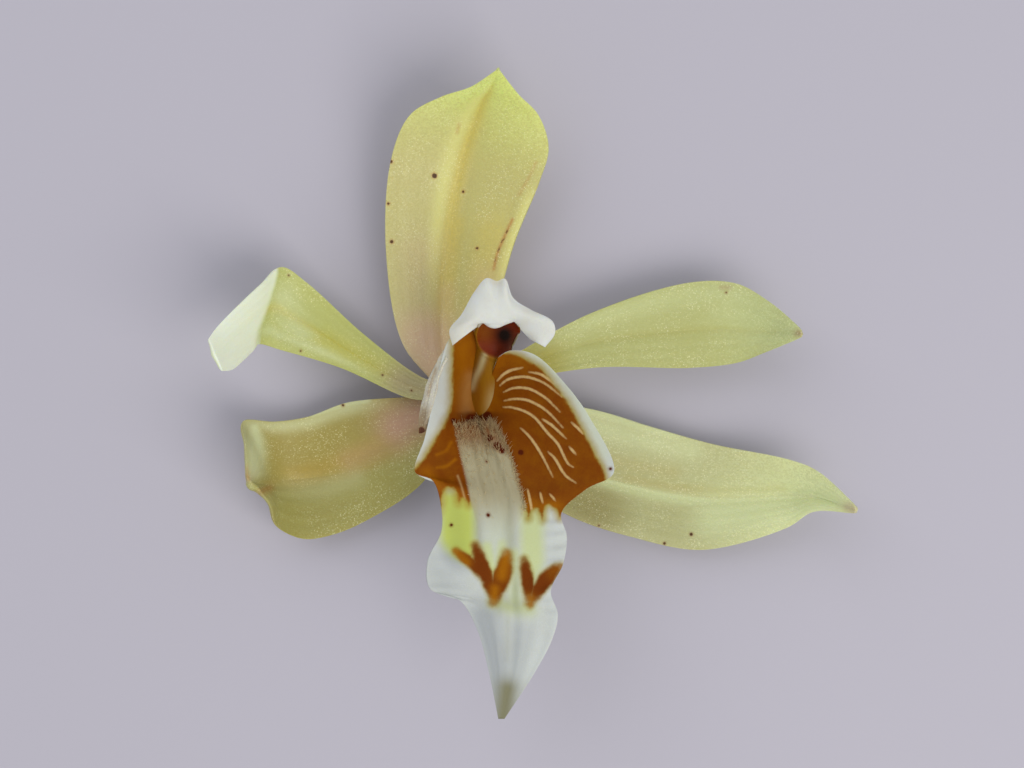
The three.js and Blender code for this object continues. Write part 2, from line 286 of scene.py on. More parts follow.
@dataclass(frozen=True)
class Wash:
    """A soft tint along a line in plan, which fades as a bell curve over its reach."""

    mark: Mark
    line: Points
    reach: float
    strength: float

    def add_to(self, marks: Marks, x: Array, y: Array) -> None:
        """Lays the tint over the mark, wherever it is the stronger of the two."""
        gap, _ = plan_distance(x, y, self.line)
        marks[self.mark] = np.maximum(marks[self.mark], self.strength * bell(gap, 0.0, self.reach))


# Meshes


def grid_normals(points: Array) -> Array:
    """Unit normals of a grid of points: the way across crossed with the way along."""
    return unit(np.cross(np.gradient(points, axis=1), np.gradient(points, axis=0)))


def grid_quads(index: Array) -> Array:
    """The quads of a grid of vertex numbers, facing the way across crossed with the way along."""
    return np.stack([index[:-1, :-1], index[:-1, 1:], index[1:, 1:], index[1:, :-1]], -1).reshape(-1, 4)


def make_object(
    name: str, vertices: Array, faces: Sequence[Sequence[int]], marks: Marks, uv: Array
) -> bpy.types.Object:
    """Makes a smooth-shaded object whose place is in its mesh, in metres.

    Args:
        name: the object's name.
        vertices: their places, in millimetres.
        faces: vertex numbers of each face, anticlockwise from outside.
        marks: a number at each vertex for each painted mark.
        uv: two numbers at each vertex, along and across the piece.

    Returns:
        The new object, linked to the scene.
    """
    mesh = bpy.data.meshes.new(name)
    mesh.from_pydata((vertices * MM).tolist(), [], [list(face) for face in faces])
    mesh.polygons.foreach_set("use_smooth", np.ones(len(mesh.polygons), bool))
    for mark, values in marks.items():
        layer = mesh.attributes.new(mark.value, "FLOAT", "POINT")
        layer.data.foreach_set("value", np.ascontiguousarray(values, np.float32))
    corners = np.empty(len(mesh.loops), np.int32)
    mesh.loops.foreach_get("vertex_index", corners)
    mesh.uv_layers.new(name="piece").data.foreach_set("uv", uv[corners].astype(np.float32).ravel())
    mesh.update()
    piece = bpy.data.objects.new(name, mesh)
    bpy.context.scene.collection.objects.link(piece)
    return piece


@dataclass
class Leaflet:
    """A thin closed piece between an upper and a lower grid of points that share their border."""

    name: str
    upper: Array
    lower: Array
    share: Array
    across: Array
    marks: Marks
    back_share: float

    def build(self) -> bpy.types.Object:
        """Makes the mesh, in which the lower grid's inner points have their own vertices.

        Returns:
            The object, closed and facing outwards.
        """
        rows, columns = self.upper.shape[:2]
        top = np.arange(rows * columns).reshape(rows, columns)
        low = top.copy()
        inner = (rows - 2) * (columns - 2)
        low[1:-1, 1:-1] = rows * columns + np.arange(inner).reshape(rows - 2, columns - 2)
        vertices = np.vstack([self.upper.reshape(-1, 3), self.lower[1:-1, 1:-1].reshape(-1, 3)])
        faces = np.vstack([grid_quads(top), grid_quads(low)[:, ::-1]])
        flat = np.stack([self.share, self.across / 2 + 0.5], -1)
        uv = np.vstack([flat.reshape(-1, 2), flat[1:-1, 1:-1].reshape(-1, 2)])
        marks = {mark: self.through(mark, values) for mark, values in self.marks.items()}
        return make_object(self.name, vertices, faces, marks, uv)

    def through(self, mark: Mark, values: Array) -> Array:
        """A mark at every vertex: in full on the upper face, and hidden or faded on the lower one.

        Args:
            mark: which mark it is.
            values: its number at each point of the upper grid.

        Returns:
            Its number at each vertex.
        """
        under = values[1:-1, 1:-1].ravel()
        under = under - HIDDEN_DEPTH if mark in EDGED_MARKS else under * self.back_share
        return np.concatenate([values.ravel(), under])


def closed_tube(name: str, points: Array, marks: Marks) -> bpy.types.Object:
    """Makes a tube of rings into a mesh, with a fan of faces over each end.

    Args:
        name: the object's name.
        points: the rings, anticlockwise seen from the tube's far end.
        marks: a number at each point of the rings for each painted mark.

    Returns:
        The object, closed and facing outwards.
    """
    rows, columns = points.shape[:2]
    index = np.arange(rows * columns).reshape(rows, columns)
    wrapped = np.hstack([index, index[:, :1]])
    hubs = points[[0, -1]].mean(1)
    near, far = rows * columns, rows * columns + 1
    first = np.stack([wrapped[0, 1:], wrapped[0, :-1], np.full(columns, near)], -1)
    last = np.stack([wrapped[-1, :-1], wrapped[-1, 1:], np.full(columns, far)], -1)
    faces = [*grid_quads(wrapped).tolist(), *first.tolist(), *last.tolist()]
    along, around = np.meshgrid(np.linspace(0, 1, rows), np.linspace(0, 1, columns), indexing="ij")
    uv = np.vstack([np.stack([along, around], -1).reshape(-1, 2), [[0.0, 0.5], [1.0, 0.5]]])
    full = {mark: np.append(values.ravel(), [values[0, 0], values[-1, 0]]) for mark, values in marks.items()}
    return make_object(name, np.vstack([points.reshape(-1, 3), hubs]), faces, full, uv)


def column_places(*stretches: tuple[float, float, int]) -> Array:
    """The places of a sheet's columns: each stretch has a start, an end and a number of even steps."""
    parts = [np.linspace(start, stop, steps, endpoint=False) for start, stop, steps in stretches]
    return np.append(np.concatenate(parts), stretches[-1][1])


def rim_profile(share: Array, v: Array, end: float) -> Array:
    """How full a sheet's thickness is: 1 inside, falling to 0 as a rounded rim at |v| = 1 and at both ends.

    It is the square root of 1 - v^10, times a quarter circle over the last stretch.

    Args:
        share: each point's share of the sheet's length.
        v: its place across.
        end: how long that last stretch is, as a share of the length.

    Returns:
        The fullness.
    """
    side = np.sqrt(np.maximum(1 - np.abs(v) ** 10, 0))
    reach = np.clip(np.minimum(share, 1 - share) / end, 0, 1)
    return side * np.sqrt(np.maximum(1 - (1 - reach) ** 2, 0))


def tube_grid(axis: Points, rows: int, columns: int) -> tuple[Array, Array, Array, Array, Array]:
    """The grid of a tube along a smooth line, as even rings of even angles.

    Side is +X less its part along the line, made a unit again, and front is side crossed with the line.

    Args:
        axis: the line's knots.
        rows: how many rings there are.
        columns: how many points a ring has.

    Returns:
        Each point's place along the line, its angle, its ring's centre, and the ring's side and front.
    """
    around = np.linspace(0, 2 * math.pi, columns, endpoint=False)
    u, angle = np.meshgrid(np.linspace(0, 1, rows), around, indexing="ij")
    rail = Rail(axis)
    along = rail.along(u)
    side = unit(np.array([1.0, 0, 0]) - along * along[..., :1])
    return u, angle, rail.at(u), side, unit(np.cross(side, along))


def level(values: Sequence[float], u: Array) -> Array:
    """A size along a tube, straight between its evenly placed values."""
    return np.interp(u, np.linspace(0, 1, len(values)), values)


def settle(piece: bpy.types.Object, finish: bpy.types.Material, slot: Slot, *nodes: str) -> bpy.types.Object:
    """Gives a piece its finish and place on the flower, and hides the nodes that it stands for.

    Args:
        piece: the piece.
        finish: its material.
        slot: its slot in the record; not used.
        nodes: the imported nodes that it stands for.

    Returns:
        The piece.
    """
    piece.data.materials.append(finish)
    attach(piece, BODY)
    if nodes:
        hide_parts(*nodes)
    return piece


# Shader nodes


class Nodes:
    """A short way to add and join nodes in one node tree."""

    def __init__(self, tree: bpy.types.NodeTree) -> None:
        """Keeps the tree that is built."""
        self.tree = tree

    def add(self, kind: str, values: dict[str, object] | None = None, **settings: object) -> bpy.types.Node:
        """Adds one node.

        Args:
            kind: the node's type name.
            values: what its input sockets hold, or the sockets that feed them.
            settings: its own properties.

        Returns:
            The node.
        """
        node = self.tree.nodes.new(kind)
        for key, value in settings.items():
            setattr(node, key, value)
        for key, value in (values or {}).items():
            self.feed(node.inputs[key], value)
        return node

    def feed(self, socket: bpy.types.NodeSocket, value: object) -> None:
        """Joins a socket to a value, or stores the value in it.

        Args:
            socket: the input.
            value: the socket that feeds it, or what it holds.
        """
        if isinstance(value, bpy.types.NodeSocket):
            self.tree.links.new(value, socket)
        elif socket.type == "RGBA" and len(value) == 3:
            socket.default_value = (*value, 1.0)
        else:
            socket.default_value = value

    def math(self, operation: str, first: object, second: object = 0.0) -> bpy.types.NodeSocket:
        """Adds a Math node.

        Args:
            operation: what it does.
            first: its first number.
            second: its second number.

        Returns:
            Its result.
        """
        node = self.tree.nodes.new("ShaderNodeMath")
        node.operation = operation
        self.feed(node.inputs[0], first)
        self.feed(node.inputs[1], second)
        return node.outputs[0]

    def between(
        self, value: object, low: float, high: float, bottom: float = 0.0, top: float = 1.0
    ) -> bpy.types.NodeSocket:
        """Moves a number smoothly from one range to another.

        Args:
            value: the number.
            low: where the first range starts.
            high: where it ends.
            bottom: the result at low.
            top: the result at high.

        Returns:
            The result.
        """
        node = self.add("ShaderNodeMapRange", interpolation_type="SMOOTHSTEP")
        for socket, number in zip(node.inputs, (value, low, high, bottom, top)):
            self.feed(socket, number)
        return node.outputs[0]

    def mix(self, share: object, first: object, second: object) -> bpy.types.NodeSocket:
        """Mixes two colours.

        Args:
            share: how far the result is from the first towards the second.
            first: the first colour.
            second: the second colour.

        Returns:
            The mixed colour.
        """
        node = self.tree.nodes.new("ShaderNodeMix")
        node.data_type = "RGBA"
        self.feed(node.inputs[0], share)
        self.feed(node.inputs[6], first)
        self.feed(node.inputs[7], second)
        return node.outputs[2]

    def mark(self, mark: Mark) -> bpy.types.NodeSocket:
        """The painted mark's number at the point."""
        return self.add("ShaderNodeAttribute", attribute_name=mark.value).outputs["Fac"]

    def uv(self) -> tuple[bpy.types.NodeSocket, bpy.types.NodeSocket]:
        """Reads the piece's own UV map.

        Returns:
            The places along and across the piece.
        """
        source = self.add("ShaderNodeUVMap", uv_map="piece")
        parts = self.add("ShaderNodeSeparateXYZ", {"Vector": source.outputs[0]})
        return parts.outputs[0], parts.outputs[1]


class GroupKind(Enum):
    """The effects that several finishes share."""

    CELLS = "petal_cells"
    VEINS = "petal_veins"
    EDGE = "stained_edge"
    SPOT = "round_spot"


def new_group(
    kind: GroupKind, inputs: dict[str, float], outputs: Sequence[str]
) -> tuple[Nodes, bpy.types.Node, bpy.types.Node]:
    """Starts a shader node group with number sockets.

    Args:
        kind: which effect, whose value names the group.
        inputs: each input's name and default.
        outputs: each output's name.

    Returns:
        The tree's builder, its input node and its output node.
    """
    tree = bpy.data.node_groups.new(kind.value, "ShaderNodeTree")
    for name, default in inputs.items():
        socket = tree.interface.new_socket(name, in_out="INPUT", socket_type="NodeSocketFloat")
        socket.default_value = default
    for name in outputs:
        tree.interface.new_socket(name, in_out="OUTPUT", socket_type="NodeSocketFloat")
    nodes = Nodes(tree)
    return nodes, nodes.add("NodeGroupInput"), nodes.add("NodeGroupOutput")


def cell_group() -> None:
    """The fine skin of a petal: rounded cells a tenth of a millimetre wide, of which a few glint.

    Height is 1 minus the squared distance to the nearest cell's centre, and Grain is drawn for each cell.
    Glint is a painted highlight, strong in the middle of cells with a high draw, in patches. Mottle is a
    slow noise.
    """
    outputs = ("Height", "Grain", "Glint", "Mottle")
    nodes, source, sink = new_group(GroupKind.CELLS, {"Cells per Metre": 9500.0}, outputs)
    place = nodes.add("ShaderNodeTexCoord").outputs["Object"]
    cells = nodes.add("ShaderNodeTexVoronoi", {"Vector": place, "Scale": source.outputs[0]})
    distance = cells.outputs["Distance"]
    lot = nodes.add("ShaderNodeSeparateColor", {"Color": cells.outputs["Color"]}).outputs[0]
    patchy = nodes.add("ShaderNodeTexNoise", {"Vector": place, "Scale": 420.0, "Detail": 3.0}).outputs["Fac"]
    patches = nodes.between(patchy, 0.36, 0.62, 0.1, 1.0)
    chosen = nodes.math("MULTIPLY", nodes.math("POWER", lot, 3.0), patches)
    slow = {"Vector": place, "Scale": 900.0, "Detail": 5.0, "Roughness": 0.62}
    mottle = nodes.add("ShaderNodeTexNoise", slow)
    nodes.feed(sink.inputs[0], nodes.math("SUBTRACT", 1.0, nodes.math("MULTIPLY", distance, distance)))
    nodes.feed(sink.inputs[1], lot)
    nodes.feed(sink.inputs[2], nodes.math("MULTIPLY", chosen, nodes.between(distance, 0.6, 0.2)))
    nodes.feed(sink.inputs[3], mottle.outputs["Fac"])


def vein_group() -> None:
    """Veins that run along a piece: noise drawn out lengthwise in the piece's own coordinates.

    Lines is noise whose place is Veins times the place across and Drawn Out times the place along.
    """
    nodes, source, sink = new_group(GroupKind.VEINS, {"Veins": 12.0, "Drawn Out": 1.5}, ("Lines",))
    along, across = nodes.uv()
    wide = nodes.math("MULTIPLY", across, source.outputs[0])
    long = nodes.math("MULTIPLY", along, source.outputs[1])
    stretched = nodes.add("ShaderNodeCombineXYZ", {"X": wide, "Y": long})
    lines = nodes.add("ShaderNodeTexNoise", {"Vector": stretched.outputs[0], "Scale": 1.0, "Detail": 3.0})
    nodes.feed(sink.inputs[0], lines.outputs["Fac"])


def edge_group() -> None:
    """The soft, slightly ragged edge of a painted patch.

    Share is a smooth step of the depth inside the edge, moved by noise of size Raggedness, over Softness.
    """
    inputs = {"Inside": 0.0, "Softness": 0.1, "Raggedness": 0.1, "Noise per Metre": 2600.0}
    nodes, source, sink = new_group(GroupKind.EDGE, inputs, ("Share",))
    place = nodes.add("ShaderNodeTexCoord").outputs["Object"]
    noise = nodes.add("ShaderNodeTexNoise", {"Vector": place, "Scale": source.outputs[3], "Detail": 3.0})
    shift = nodes.math("MULTIPLY", nodes.math("SUBTRACT", noise.outputs["Fac"], 0.5), source.outputs[2])
    moved = nodes.math("DIVIDE", nodes.math("ADD", source.outputs[0], shift), source.outputs[1])
    nodes.feed(sink.inputs[0], nodes.between(moved, -1.0, 1.0))


def spot_group() -> None:
    """A round spot drawn in plan, in millimetres, beside others.

    Inside is the greater of Other and Radius minus the distance to the place X, Y.
    """
    inputs = {"X": 0.0, "Y": 0.0, "Radius": 0.1, "Other": -HIDDEN_DEPTH}
    nodes, source, sink = new_group(GroupKind.SPOT, inputs, ("Inside",))
    place = nodes.add("ShaderNodeTexCoord").outputs["Object"]
    plan = nodes.add("ShaderNodeVectorMath", {0: place, 1: (1 / MM, 1 / MM, 0.0)}, operation="MULTIPLY")
    centre = nodes.add("ShaderNodeCombineXYZ", {"X": source.outputs["X"], "Y": source.outputs["Y"]})
    gap = nodes.add("ShaderNodeVectorMath", {0: plan.outputs[0], 1: centre.outputs[0]}, operation="DISTANCE")
    inside = nodes.math("SUBTRACT", source.outputs["Radius"], gap.outputs["Value"])
    nodes.feed(sink.inputs[0], nodes.math("MAXIMUM", source.outputs["Other"], inside))


class Finish:
    """A material being built: its tree, its Principled shader and the shared groups."""

    SPOT_BLUR = 0.05
    HALO_BLUR = 0.12
    HALO_REACH = 0.07
    HALO_SHARE = 0.55
    SPOT_RAGGEDNESS = 0.1
    SPOT_NOISE = 5000.0

    def __init__(self, name: str, roughness: float, subsurface: float, coat: float) -> None:
        """Makes the material with a fleshy, faintly glossy shader.

        Args:
            name: the material's name.
            roughness: the skin's roughness.
            subsurface: how much light passes under the skin.
            coat: how strong the glossy film on the cells is.
        """
        self.material = bpy.data.materials.new(name)
        self.material.use_nodes = True
        self.nodes = Nodes(self.material.node_tree)
        self.shader = self.material.node_tree.nodes["Principled BSDF"]
        inputs = self.shader.inputs
        inputs["Roughness"].default_value = roughness
        inputs["IOR"].default_value = 1.4
        inputs["Subsurface Weight"].default_value = subsurface
        inputs["Subsurface Radius"].default_value = (1.0, 0.8, 0.4)
        inputs["Subsurface Scale"].default_value = 0.6 * MM
        inputs["Coat Weight"].default_value = coat
        inputs["Coat Roughness"].default_value = 0.25

    def group(self, kind: GroupKind, values: dict[str, object] | None = None) -> bpy.types.Node:
        """Places a shared group.

        Args:
            kind: which effect.
            values: what its inputs hold, or the sockets that feed them.

        Returns:
            The group's node.
        """
        node = self.nodes.add("ShaderNodeGroup", node_tree=bpy.data.node_groups[kind.value])
        for key, value in (values or {}).items():
            self.nodes.feed(node.inputs[key], value)
        return node

    def edge(
        self, inside: object, softness: float, raggedness: float, fineness: float
    ) -> bpy.types.NodeSocket:
        """Turns a depth inside a painted edge into a share.

        Args:
            inside: the depth, in millimetres.
            softness: half the width of the edge's blur, in millimetres.
            raggedness: how far noise moves the edge.
            fineness: how many waves of that noise fit in a metre.

        Returns:
            The share, from 0 to 1.
        """
        look = {"Softness": softness, "Raggedness": raggedness, "Noise per Metre": fineness}
        return self.group(GroupKind.EDGE, {"Inside": inside, **look}).outputs[0]

    def painted(
        self, mark: Mark, softness: float, raggedness: float, fineness: float = 2600.0, inset: float = 0.0
    ) -> bpy.types.NodeSocket:
        """Turns an edged mark into a share that starts inset millimetres inside the mark's own edge."""
        inside = self.nodes.math("SUBTRACT", self.nodes.mark(mark), inset)
        return self.edge(inside, softness, raggedness, fineness)

    def lay(self, colour: object, *layers: tuple[object, object]) -> object:
        """Lays colours over one another.

        Args:
            colour: the lowest colour.
            layers: pairs, from below, of a share, which is a mark or a socket, and a colour.

        Returns:
            The colour of the whole.
        """
        for share, tint in layers:
            shown = self.nodes.mark(share) if isinstance(share, Mark) else share
            colour = self.nodes.mix(shown, colour, tint)
        return colour

    def spotted(self, spots: Points, colour: object, halo: Colour, core: Colour) -> object:
        """Lays round spots over a colour, each with a faint halo.

        Args:
            spots: each spot's place in plan and its radius, in millimetres.
            colour: the colour under them.
            halo: the colour round each spot.
            core: the colour of the spots.

        Returns:
            The colour with its spots.
        """
        if not spots:
            return colour
        inside: object = -HIDDEN_DEPTH
        for x, y, radius in spots:
            values = {"X": x, "Y": y, "Radius": radius, "Other": inside}
            inside = self.group(GroupKind.SPOT, values).outputs[0]
        rough = (self.SPOT_RAGGEDNESS, self.SPOT_NOISE)
        wide = self.edge(self.nodes.math("ADD", inside, self.HALO_REACH), self.HALO_BLUR, *rough)
        faint = self.nodes.math("MULTIPLY", wide, self.HALO_SHARE)
        return self.lay(colour, (faint, halo), (self.edge(inside, self.SPOT_BLUR, *rough), core))

    def close(self, colour: object, heights: Sequence[tuple[object, float]]) -> bpy.types.Material:
        """Joins the colour and the bumps to the shader.

        Args:
            colour: the socket that gives the base colour.
            heights: pairs of a height socket and how far it stands out, in millimetres.

        Returns:
            The finished material.
        """
        self.nodes.feed(self.shader.inputs["Base Color"], colour)
        normal = None
        for height, reach in heights:
            values = {"Height": height, "Strength": 1.0, "Distance": reach * MM}
            bump = self.nodes.add("ShaderNodeBump", values)
            if normal is not None:
                self.nodes.feed(bump.inputs["Normal"], normal)
            normal = bump.outputs[0]
        self.nodes.feed(self.shader.inputs["Normal"], normal)
        return self.material


@dataclass(frozen=True)
class BladeFinish:
    """The skin of a sepal or petal: yellow, warmer at the midrib and the base, with glinting cells."""

    name: str
    base: Colour
    shade: Colour
    # The colour of painted shade over one half
    painted_shade: Colour
    # The colour of paler skin and of painted highlight
    pale: Colour
    gold: Colour
    blush: Colour
    tip: Colour
    tan: Colour = (0.33, 0.17, 0.05)
    stain: Colour = (0.09, 0.032, 0.004)
    # The colour of painted glints
    glint: Colour = (0.95, 0.93, 0.58)
    veins: float = 14.0
    tip_start: float = 0.62

    def material(self, spots: Points) -> bpy.types.Material:
        """Layers the colours: the base and its veins, then the marks, grain, glints, streaks and spots.

        Args:
            spots: the round spots, each a place in plan and a radius, in millimetres.

        Returns:
            The material.
        """
        finish = Finish(self.name, roughness=0.55, subsurface=0.3, coat=0.03)
        nodes = finish.nodes
        cells = finish.group(GroupKind.CELLS, {"Cells per Metre": 9000.0})
        veins = finish.group(GroupKind.VEINS, {"Veins": self.veins})
        along, _ = nodes.uv()
        colour = finish.lay(
            self.base,
            (nodes.between(veins.outputs["Lines"], 0.3, 0.75, 0.0, 0.3), self.shade),
            # Painted shade over the half that tilts away from the light
            (Mark.PAINTED_SHADE, self.painted_shade),
            (nodes.between(along, self.tip_start, 1.0), self.tip),
            (Mark.GOLD, self.gold),
            (nodes.between(cells.outputs["Grain"], 0.75, 0.0, 0.0, 0.32), self.shade),
            # Paler skin and painted highlight
            (Mark.PALE_AND_HIGHLIGHT, self.pale),
            (Mark.BLUSH, self.blush),
            (Mark.TAN, self.tan),
            # Painted highlights: bright glints laid into the colour of a few cells
            (nodes.math("MULTIPLY", cells.outputs["Glint"], 0.6), self.glint),
            (finish.painted(Mark.STAIN, 0.07, 0.2, 5000.0), self.stain),
        )
        colour = finish.spotted(spots, colour, self.tan, self.stain)
        return finish.close(colour, [(veins.outputs["Lines"], 0.02), (cells.outputs["Height"], 0.016)])


@dataclass(frozen=True)
class LipFinish:
    """The lip's skin: white, with brown striped lobes, yellow zones and a pale furry keel band."""

    white: Colour = (0.59, 0.62, 0.58)
    cream: Colour = (0.46, 0.44, 0.3)
    keel: Colour = (0.41, 0.37, 0.23)
    brown: Colour = (0.2, 0.047, 0.001)
    brown_light: Colour = (0.25, 0.075, 0.001)
    orange: Colour = (0.42, 0.15, 0.001)
    rim: Colour = (0.38, 0.28, 0.04)
    stripe: Colour = (0.62, 0.43, 0.18)
    # Painted shade over the white where less light falls
    painted_shade_grey: Colour = (0.34, 0.36, 0.37)
    yellow: Colour = (0.6, 0.69, 0.1)
    # Painted shade over the yellow
    yellow_shade: Colour = (0.46, 0.52, 0.085)
    chevron: Colour = (0.17, 0.035, 0.001)
    maroon: Colour = (0.055, 0.008, 0.002)
    tan: Colour = (0.23, 0.22, 0.13)
    stain: Colour = (0.09, 0.012, 0.001)
    # The colour of painted glints
    glint: Colour = (0.8, 0.83, 0.82)

    def material(self, spots: Points) -> bpy.types.Material:
        """Layers the colours: white with painted shade, tan and yellow, striped brown, chevrons, keel band
        and spots.

        Args:
            spots: the round spots, each a place in plan and a radius, in millimetres.

        Returns:
            The material.
        """
        finish = Finish("lip_skin", roughness=0.6, subsurface=0.08, coat=0.0)
        finish.shader.inputs["Specular IOR Level"].default_value = 0.1
        nodes = finish.nodes
        cells = finish.group(GroupKind.CELLS, {"Cells per Metre": 12000.0})
        veins = finish.group(GroupKind.VEINS, {"Veins": 14.0, "Drawn Out": 3.0})
        mottle = cells.outputs["Mottle"]
        # The yellow, with painted shade laid over it
        yellow = finish.lay(self.yellow, (Mark.PAINTED_SHADE, self.yellow_shade))
        core = finish.lay(self.chevron, (Mark.GOLD, self.orange))
        warm = finish.lay(
            self.brown,
            (nodes.between(mottle, 0.25, 0.8), self.brown_light),
            (Mark.GOLD, self.orange),
            (Mark.PALE_AND_HIGHLIGHT, self.stripe),
            (nodes.between(veins.outputs["Lines"], 0.45, 0.8, 0.0, 0.3), self.chevron),
            (finish.painted(Mark.STRIPE, 0.06, 0.08, 4000.0), self.stripe),
        )
        colour = finish.lay(
            self.white,
            (nodes.between(mottle, 0.3, 0.75, 0.0, 0.12), self.cream),
            # Painted highlights: bright glints laid into the colour of a few cells
            (nodes.math("MULTIPLY", cells.outputs["Glint"], 0.3), self.glint),
            # Painted shade over the white
            (Mark.PAINTED_SHADE, self.painted_shade_grey),
            (Mark.TAN, self.tan),
            (Mark.YELLOW, yellow),
            (finish.painted(Mark.BROWN, 0.42, 0.3, 1500.0, -0.15), self.rim),
            (finish.painted(Mark.BROWN, 0.14, 0.3, 2600.0, 0.14), warm),
            (finish.painted(Mark.CHEVRON, 0.32, 0.3, 1500.0, -0.14), self.rim),
            (finish.painted(Mark.CHEVRON, 0.15, 0.25, 1500.0, -0.05), core),
            (Mark.KEEL, self.keel),
            (Mark.MAROON, self.maroon),
        )
        colour = finish.spotted(spots, colour, self.chevron, self.stain)
        return finish.close(colour, [(veins.outputs["Lines"], 0.02), (cells.outputs["Height"], 0.01)])


@dataclass(frozen=True)
class ColumnFinish:
    """The column's skin: white, golden brown in front, with a brick red stigma, painted near black inside as
    shade.
    """

    name: str = "column_skin"
    white: Colour = (0.72, 0.73, 0.67)
    gold: Colour = (0.27, 0.115, 0.004)
    streak: Colour = (0.5, 0.41, 0.2)
    red: Colour = (0.18, 0.02, 0.003)
    # The near black of painted shade in the stigma's hollow
    hollow_shade: Colour = (0.008, 0.003, 0.002)

    def material(self) -> bpy.types.Material:
        """Layers the colours: white, gold, the pale streaks and painted highlight, red and painted shade.

        Returns:
            The material.
        """
        finish = Finish(self.name, roughness=0.5, subsurface=0.3, coat=0.02)
        finish.shader.inputs["Specular IOR Level"].default_value = 0.15
        nodes = finish.nodes
        cells = finish.group(GroupKind.CELLS, {"Cells per Metre": 12000.0})
        mottle = cells.outputs["Mottle"]
        colour = finish.lay(
            self.white,
            (nodes.between(mottle, 0.35, 0.75, 0.0, 0.12), self.streak),
            (Mark.GOLD, self.gold),
            (Mark.PALE_AND_HIGHLIGHT, self.streak),
            (Mark.MAROON, self.red),
            # Painted shade in the stigma's hollow
            (Mark.HOLLOW_SHADE, self.hollow_shade),
        )
        return finish.close(colour, [(mottle, 0.03), (cells.outputs["Height"], 0.01)])


@dataclass(frozen=True)
class PlainFinish:
    """A fleshy skin of one hue with soft mottling, for the cap, the ovary and the hairs."""

    name: str
    base: Colour
    shade: Colour
    roughness: float = 0.42
    subsurface: float = 0.3
    coat: float = 0.1

    def material(self) -> bpy.types.Material:
        """Mixes base and shade by the mottle and by the piece's GOLD mark.

        Returns:
            The material.
        """
        finish = Finish(self.name, self.roughness, self.subsurface, self.coat)
        cells = finish.group(GroupKind.CELLS)
        mottle = cells.outputs["Mottle"]
        blotches = finish.nodes.between(mottle, 0.3, 0.8, 0.0, 0.35)
        colour = finish.lay(self.base, (blotches, self.shade), (Mark.GOLD, self.shade))
        return finish.close(colour, [(mottle, 0.04), (cells.outputs["Height"], 0.012)])


# Sepals and petals


